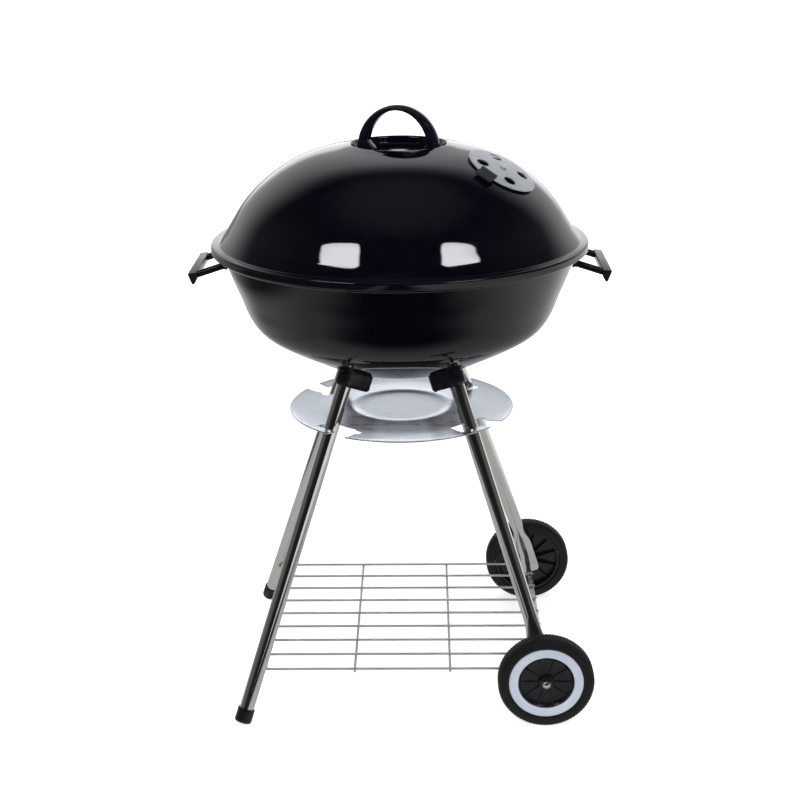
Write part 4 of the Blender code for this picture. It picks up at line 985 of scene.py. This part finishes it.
def sector(az0, az1, r0a, r0b, r1a, r1b, n=24, curve=1.0):
    out = []
    for k in range(n + 1):
        t = k / n
        a = math.radians(az0 + (az1 - az0) * t)
        out.append((a, r0a + (r0b - r0a) * t ** curve, r1a + (r1b - r1a) * t ** curve))
    pts = [(r1 * math.cos(a), r1 * math.sin(a)) for a, r0, r1 in out]
    pts += [(r0 * math.cos(a), r0 * math.sin(a)) for a, r0, r1 in out[::-1]]
    return loft("cut", [[Vector((x, y, z)) for x, y in pts] for z in (PAN_Z - 0.02, PAN_Z + 0.02)])


for k in range(4):
    q = 90.0 * k
    pan = combine(pan, [sector(-144.0 + q, -122.0 + q, SLOT_IN, SLOT_IN, SLOT_OUT, SLOT_OUT),
                        sector(-128.9 + q, -118.0 + q, 0.1100, SLOT_IN + 0.0100, 0.1600, 0.1600, 6),
                        sector(-126.0 + q, -115.4 + q, SLOT_IN, SLOT_IN + 0.0060, 0.1240, 0.1160, 6)], "DIFFERENCE", 35)
put(pan, "ash_catcher", "ash_catcher")

# --------------------------------------------------------------- wire shelf
half = 4 * SHELF_PITCH
leg_x = -LEG_FOOT[0] + LEG_SLOPE[0] * SHELF_Z
leg_y = LEG_FOOT[1] - LEG_SLOPE[1] * SHELF_Z
runs = [([Vector((SHELF_X0, -half - 0.0005, SHELF_Z)), Vector((SHELF_X0, half + 0.0005, SHELF_Z))], WIRE_R, False),
        ([Vector((SHELF_X1, -half - 0.0005, SHELF_Z)), Vector((SHELF_X1, half + 0.0005, SHELF_Z))], WIRE_R, False)]
rr = AXLE_R + WIRE_R + GAP + 0.0002
for i in range(-4, 5):
    y = i * SHELF_PITCH
    pts = [Vector((SHELF_X0 - 0.0003, y, SHELF_Z)), Vector((-0.09, y, SHELF_Z)), Vector((0.05, y, SHELF_Z)), Vector((SHELF_X1 + 0.0004, y, SHELF_Z))]
    if abs(i) < 4:
        for d in (128, 112, 96, 80, 64, 50):
            a = math.radians(d)
            pts.append(Vector((AXLE_X + rr * math.cos(a), y, AXLE_Z + rr * math.sin(a))))
    runs.append((pts, WIRE_R, False))
for x in (-0.0590, 0.0590):
    runs.append(([Vector((x, -half - 0.0025, SHELF_Z - 0.0024)), Vector((x, half + 0.0025, SHELF_Z - 0.0024))], WIRE_R, False))
for sy in (-1, 1):
    runs.append((bend_path([(SHELF_X0 + 0.0004, sy * HOOK_Y, SHELF_Z), (leg_x, sy * HOOK_Y, SHELF_Z), (leg_x, sy * (leg_y - 0.0040), SHELF_Z)], 0.003, 6),
                 WIRE_R, False))
put(tubes("shelf_wires", runs, "wire", 14), "wire_shelf", "frame")

# ------------------------------------------------------------ axle and wheels
ax_prof = [(0.0, 0.0), (AXLE_R - 0.0006, 0.0), (AXLE_R, 0.0006), (AXLE_R, 0.0120), (AXLE_R, 0.10), (AXLE_R, 0.20), (AXLE_R, 0.30), (AXLE_R, 0.3706), (AXLE_R, 0.3820), (AXLE_R - 0.0006, 0.3826), (0.0, 0.3826)]
put(turned("axle_rod", ax_prof, "zinc", seg=48, origin=(AXLE_X, -0.1913, AXLE_Z), axis=(0, 1, 0), closed=False), "axle", "frame")


def tyre(name, o, ax):
    """Solid tyre: rounded carcass, two rows of shoulder blocks, two staggered centre rows of blocks, sidewall bead
    lines.
    """
    bore, r, W = 0.0462, WHEEL_R, WHEEL_W
    blocks, per = 84, 8
    seg = blocks * per
    prof, kind = [], []

    def add(rr, h, k=0):
        prof.append((rr, h))
        kind.append(k)
    add(bore, -0.0012)
    add(bore + 0.0003, -0.0004)
    add(bore + 0.0012, 0.0)
    add(bore + 0.0030, -0.0001)
    add(bore + 0.0034, 0.0)
    add(bore + 0.0042, 0.0)
    add(bore + 0.0046, -0.0001)
    for k in range(7):
        a = math.pi / 2 * k / 6
        add(r - 0.0052 + 0.0040 * math.sin(a), -0.0040 + 0.0038 * math.cos(a))
    # shoulder row, groove, centre row, groove, centre row, groove, shoulder row
    rows = [(-0.0046, -0.0076, 1), (-0.0084, -0.0112, 2), (-0.0118, -0.0146, 1), (-0.0154, -0.0184, 2)]
    lo = r - 0.0013
    for a, b, k in rows:
        add(lo, a + 0.0003, 0)
        add(r, a, k)
        add(r, (a + b) / 2, k)
        add(r, b, k)
        add(lo, b - 0.0003, 0)
    for k in range(7):
        a = math.pi / 2 * (1 - k / 6)
        add(r - 0.0052 + 0.0040 * math.sin(a), -W + 0.0040 - 0.0038 * math.cos(a))
    add(bore + 0.0046, -W + 0.0001)
    add(bore + 0.0012, -W)
    add(bore + 0.0003, -W + 0.0004)
    add(bore, -W + 0.0012)

    def radial(k, i, rr):
        if kind[i] == 1 and k % per < 2:
            return lo
        if kind[i] == 2 and (k + per // 2) % per < 2:
            return lo
        return rr
    return turned(name, prof, "rubber", seg=seg, origin=o, axis=ax, closed=True, angle=50, radial=radial)


def hub(name, o, ax):
    """Moulded disc: dished outer face with ten thin spokes, open ribbed back."""
    hr = 0.0462 - GAP
    W = WHEEL_W
    prof = [(AXLE_R + 0.0005, -0.0026), (AXLE_R + 0.0009, -0.0022), (0.0082, -0.0022), (0.0090, -0.0026), (0.0095, -0.0036), (0.0098, -0.0062),
            (0.0108, -0.0070), (0.0130, -0.0072), (0.0200, -0.0070), (0.0270, -0.0064), (0.0306, -0.0058), (0.0320, -0.0046), (0.0326, -0.0034),
            (0.0330, -0.0031), (0.0334, -0.0031), (0.0336, -0.0034), (0.0336, -0.0052), (hr, -0.0052), (hr, -W + 0.0034), (hr - 0.0004, -W + 0.0030), (hr - 0.0032, -W + 0.0030),
            (hr - 0.0036, -W + 0.0034), (hr - 0.0046, -0.0098), (0.0112, -0.0098), (0.0107, -W + 0.0012), (0.0103, -W + 0.0008), (AXLE_R + 0.0009, -W + 0.0008), (AXLE_R + 0.0005, -W + 0.0012)]
    ob = turned(name, prof, "black_plastic", seg=120, origin=o, axis=ax, closed=True, angle=35)
    u, v, w = frame_of(ax)
    o = Vector(o)
    ribs = []
    for k in range(12):
        a = 2 * math.pi * (k + 0.5) / 12
        d, t = u * math.cos(a) + v * math.sin(a), u * -math.sin(a) + v * math.cos(a)
        q = 0.0007
        ribs.append(loft("r", [[o + d * r + t * (s * q) + w * h for s, h in ((-1, -0.0090), (1, -0.0090), (1, z), (-1, z))]
                               for r, z in ((0.0098, -W + 0.0040), (hr - 0.0030, -W + 0.0080))]))
    for k in range(10):
        a = 2 * math.pi * k / 10
        d, t = u * math.cos(a) + v * math.sin(a), u * -math.sin(a) + v * math.cos(a)
        ribs.append(loft("r", [[o + d * r + t * (s * q) + w * h for s, h in ((-1, -0.0080), (1, -0.0080), (0.55, z), (-0.55, z))]
                               for r, z, q in ((0.0094, -0.0058, 0.0011), (0.0312, -0.0044, 0.0016))]))
    return combine(ob, ribs, "UNION", 32)


def trim_ring(name, o, ax):
    a, b = RING_IN, RING_OUT
    prof = [(a, -0.0047), (a, -0.0026), (a + 0.0005, -0.0021), (a + 0.0014, -0.0020), ((a + b) / 2, -0.0018 - 0.0002), (b - 0.0014, -0.0020), (b - 0.0005, -0.0021), (b, -0.0026), (b, -0.0047)]
    return turned(name, prof, "white_ring", seg=160, origin=o, axis=ax, closed=True, angle=40)


def axle_cap(name, o, ax):
    """Domed cap nut: hexagon with a chamfer, dome above."""
    u, v, w = frame_of(ax)
    o = Vector(o)
    r = 0.0056
    n = 48

    def hex_ring(rad, h, mixr):
        out = []
        for k in range(n):
            a = 2 * math.pi * (k + 0.5) / n
            m = (a + math.pi / 6) % (math.pi / 3) - math.pi / 6
            rh = rad * math.cos(math.pi / 6) / math.cos(m)
            q = rh * (1 - mixr) + rad * 0.90 * mixr
            out.append(o + u * (q * math.cos(a)) + v * (q * math.sin(a)) + w * h)
        return out
    rings = [hex_ring(r, -0.0014, 0.0), hex_ring(r, 0.0008, 0.0), hex_ring(r * 0.97, 0.0013, 0.6), hex_ring(r * 0.86, 0.0014, 1.0)]
    for k in range(1, 8):
        a = math.pi / 2 * k / 8
        rings.append(hex_ring(r * 0.82 * math.cos(a), 0.0014 + 0.0027 * math.sin(a), 1.0))
    rings.insert(0, hex_ring(r * 0.94, -0.0018, 0.3))
    ob = loft(name, rings, "chrome", angle=32)
    return combine(ob, [rod("b", o - w * 0.006, o + w * 0.0012, AXLE_R + 0.0003, seg=32)], "DIFFERENCE", 32)


for sy, tag in ((-1, "front"), (1, "rear")):
    o, ax = (AXLE_X, sy * WHEEL_Y, AXLE_Z), (0, sy, 0)
    put(tyre("tyre_" + tag, o, ax), "wheel_tyre_" + tag, tag + "_wheel")
    put(hub("hub_" + tag, o, ax), "wheel_hub_" + tag, tag + "_wheel")
    put(trim_ring("trim_" + tag, o, ax), "wheel_ring_" + tag, tag + "_wheel")
    put(turned("washer_" + tag, [(AXLE_R + 0.0004, -WHEEL_W - 0.0003), (0.0066, -WHEEL_W - 0.0003), (0.0070, -WHEEL_W - 0.0006),
                                 (0.0070, -WHEEL_W - 0.0012), (0.0066, -WHEEL_W - 0.0015), (AXLE_R + 0.0004, -WHEEL_W - 0.0015)],
               "zinc", seg=40, origin=o, axis=ax, closed=True), "axle_washer_" + tag, "frame")
    put(axle_cap("cap_nut_" + tag, o, ax), "axle_nut_" + tag, "frame")

# -------------------------------------------------------------------- studio
def smooth_range(t, src, a, b, lo=0.0, hi=1.0):
    n = t.nodes.new("ShaderNodeMapRange")
    n.interpolation_type = "SMOOTHSTEP"
    n.inputs["From Min"].default_value = a
    n.inputs["From Max"].default_value = b
    n.inputs["To Min"].default_value = lo
    n.inputs["To Max"].default_value = hi
    t.links.new(src, n.inputs["Value"])
    return n.outputs["Result"]


def calc(t, op, a, b):
    n = t.nodes.new("ShaderNodeMath")
    n.operation = op
    for i, v in enumerate((a, b)):
        if isinstance(v, (int, float)):
            n.inputs[i].default_value = v
        else:
            t.links.new(v, n.inputs[i])
    return n.outputs[0]


def studio():
    me = bpy.data.meshes.new("studio_floor")
    s = 30.0
    me.from_pydata([(-s, -s, 0), (s, -s, 0), (s, s, 0), (-s, s, 0)], [], [(0, 1, 2, 3)])
    floor = bpy.data.objects.new("studio_floor", me)
    scene.collection.objects.link(floor)
    m = bpy.data.materials.new("studio_white")
    m.use_nodes = True
    t = m.node_tree
    b = t.nodes["Principled BSDF"]
    out = t.nodes["Material Output"]
    b.inputs["Base Color"].default_value = (0.86, 0.86, 0.86, 1)
    b.inputs["Roughness"].default_value = 0.8
    b.inputs["Specular IOR Level"].default_value = 0.0
    b.inputs["Emission Color"].default_value = (1, 1, 1, 1)
    b.inputs["Emission Strength"].default_value = FLOOR_EMIT
    # what the shiny pieces see of the floor: lit sweep below and beside, dim in front
    co = t.nodes.new("ShaderNodeTexCoord")
    sp = t.nodes.new("ShaderNodeSeparateXYZ")
    t.links.new(co.outputs["Object"], sp.inputs["Vector"])
    x, y = sp.outputs["X"], sp.outputs["Y"]
    far = t.nodes.new("ShaderNodeVectorMath")
    far.operation = "LENGTH"
    t.links.new(co.outputs["Object"], far.inputs[0])
    t.links.new(smooth_range(t, far.outputs["Value"], 0.7, 2.2, FLOOR_EMIT, 1.3), b.inputs["Emission Strength"])
    side = calc(t, "MULTIPLY", smooth_range(t, calc(t, "ABSOLUTE", x, 0.0), 0.22, 0.70), smooth_range(t, x, -0.95, -0.72, 0.10, 1.0))
    back = smooth_range(t, y, -0.50, -0.24)
    inner = calc(t, "MULTIPLY", back, smooth_range(t, x, -0.85, -0.45, 0.12, 1.0))
    lit = calc(t, "MAXIMUM", side, inner)
    level = calc(t, "ADD", calc(t, "MULTIPLY", lit, 0.46), 0.012)
    level = calc(t, "ADD", level, smooth_range(t, y, 0.35, 1.2, 0.0, 0.32))
    level = calc(t, "ADD", level, smooth_range(t, x, 0.55, 0.95, 0.0, 0.30))
    dim = t.nodes.new("ShaderNodeEmission")
    dim.inputs["Color"].default_value = (1.0, 0.985, 0.965, 1)
    t.links.new(level, dim.inputs["Strength"])
    lp = t.nodes.new("ShaderNodeLightPath")
    mx = t.nodes.new("ShaderNodeMixShader")
    t.links.new(lp.outputs["Is Camera Ray"], mx.inputs[0])
    t.links.new(dim.outputs[0], mx.inputs[1])
    t.links.new(b.outputs[0], mx.inputs[2])
    t.links.new(mx.outputs[0], out.inputs["Surface"])
    me.materials.append(m)

    w = bpy.data.worlds.new("studio")
    scene.world = w
    w.use_nodes = True
    t = w.node_tree
    bg = t.nodes["Background"]
    co = t.nodes.new("ShaderNodeTexCoord")
    sp = t.nodes.new("ShaderNodeSeparateXYZ")
    t.links.new(co.outputs["Generated"], sp.inputs["Vector"])
    x, y, z = sp.outputs["X"], sp.outputs["Y"], sp.outputs["Z"]
    ax = calc(t, "ABSOLUTE", x, 0.0)
    # white sweep behind, dimmer walls beside, dark room in front and a grey ceiling
    back = calc(t, "MULTIPLY", smooth_range(t, y, 0.40, 0.80), smooth_range(t, z, 0.62, 0.92, 1.0, 0.0))
    side = calc(t, "MULTIPLY", smooth_range(t, ax, 0.45, 0.95), smooth_range(t, z, 0.25, 0.75, 1.0, 0.35))
    top = smooth_range(t, z, 0.80, 1.0)
    # bright strip of the sweep straight behind
    strip = calc(t, "MULTIPLY", smooth_range(t, y, 0.90, 0.97), calc(t, "MULTIPLY", smooth_range(t, z, -0.06, 0.02), smooth_range(t, z, 0.21, 0.30, 1.0, 0.0)))
    level = calc(t, "ADD", calc(t, "MULTIPLY", back, 0.80), 0.014)
    level = calc(t, "ADD", level, calc(t, "MULTIPLY", side, 0.10))
    level = calc(t, "ADD", level, calc(t, "MULTIPLY", top, 0.13))
    level = calc(t, "ADD", level, calc(t, "MULTIPLY", strip, 1.0))
    bg.inputs["Color"].default_value = (0.98, 0.975, 1.0, 1)
    t.links.new(level, bg.inputs["Strength"])
    white = t.nodes.new("ShaderNodeBackground")
    white.inputs["Color"].default_value = (1, 1, 1, 1)
    white.inputs["Strength"].default_value = 1.05
    lp = t.nodes.new("ShaderNodeLightPath")
    mx = t.nodes.new("ShaderNodeMixShader")
    t.links.new(lp.outputs["Is Camera Ray"], mx.inputs[0])
    t.links.new(bg.outputs[0], mx.inputs[1])
    t.links.new(white.outputs[0], mx.inputs[2])
    t.links.new(mx.outputs[0], t.nodes["World Output"].inputs["Surface"])

    def lamp(name, loc, aim, size, watts, color=(1, 1, 1), glossy=True):
        li = bpy.data.lights.new(name, "AREA")
        li.shape = "RECTANGLE"
        li.size, li.size_y = size
        li.energy = watts
        li.color = color
        ob = bpy.data.objects.new(name, li)
        scene.collection.objects.link(ob)
        d = Vector(aim) - Vector(loc)
        ob.rotation_euler = d.to_track_quat("-Z", "Y").to_euler()
        ob.location = loc
        ob.visible_glossy = glossy
        ob.visible_camera = False
        return ob
    softbox("softbox_left", (-0.061, -0.197, 0.588), [(-0.690, -0.305, 0.658), (-0.355, -0.522, 0.775), (-0.335, -0.606, 0.718), (-0.664, -0.388, 0.642)])
    softbox("softbox_right", (0.068, -0.197, 0.586), [(0.390, -0.502, 0.770), (0.692, -0.312, 0.652), (0.670, -0.372, 0.642), (0.358, -0.592, 0.720)])
    # broad overhead fill for the floor and matt pieces only
    lamp("overhead", (0, 0.2, 3.0), (0, 0, 0), (3.2, 3.2), FILL_W, glossy=False)
    lamp("front_fill", (0.3, -3.2, 1.5), (0.1, 0, 0.2), (2.4, 1.8), 85, glossy=False)


def softbox(name, p, rays, dist=1.9, n=10, level=17.5):
    """Four-cornered diffuser panel with a soft edge, as the lid mirrors it."""
    c = [Vector(p) + Vector(r).normalized() * dist for r in rays]
    verts, faces, uvs = [], [], []
    for j in range(n + 1):
        for i in range(n + 1):
            u, v = i / n, j / n
            verts.append((c[0] * (1 - u) + c[1] * u) * (1 - v) + (c[3] * (1 - u) + c[2] * u) * v)
            uvs.append((u, v))
    for j in range(n):
        for i in range(n):
            k = j * (n + 1) + i
            faces.append((k, k + 1, k + n + 2, k + n + 1))
    me = bpy.data.meshes.new(name)
    me.from_pydata([tuple(v) for v in verts], [], faces)
    lay = me.uv_layers.new(name="UVMap")
    for lp in me.loops:
        lay.data[lp.index].uv = uvs[lp.vertex_index]
    ob = bpy.data.objects.new(name, me)
    scene.collection.objects.link(ob)
    m = bpy.data.materials.new(name)
    m.use_nodes = True
    t = m.node_tree
    t.nodes.remove(t.nodes["Principled BSDF"])
    em = t.nodes.new("ShaderNodeEmission")
    em.inputs["Color"].default_value = (0.97, 0.97, 1.0, 1)
    co = t.nodes.new("ShaderNodeTexCoord")
    sp = t.nodes.new("ShaderNodeSeparateXYZ")
    t.links.new(co.outputs["UV"], sp.inputs["Vector"])
    du = calc(t, "ABSOLUTE", calc(t, "SUBTRACT", sp.outputs["X"], 0.5), 0.0)
    dv = calc(t, "ABSOLUTE", calc(t, "SUBTRACT", sp.outputs["Y"], 0.5), 0.0)
    r = calc(t, "POWER", calc(t, "ADD", calc(t, "POWER", du, 6.0), calc(t, "POWER", dv, 6.0)), 1 / 6)
    edge = smooth_range(t, r, 0.43, 0.52, 1.0, 0.0)
    lvl = calc(t, "MULTIPLY", edge, smooth_range(t, sp.outputs["Y"], 0.0, 0.7, level * 0.78, level))
    t.links.new(lvl, em.inputs["Strength"])
    t.links.new(em.outputs[0], t.nodes["Material Output"].inputs["Surface"])
    me.materials.append(m)
    ob.visible_camera = False
    ob.visible_shadow = False
    return ob


FLOOR_EMIT, FILL_W = 0.62, 52
studio()
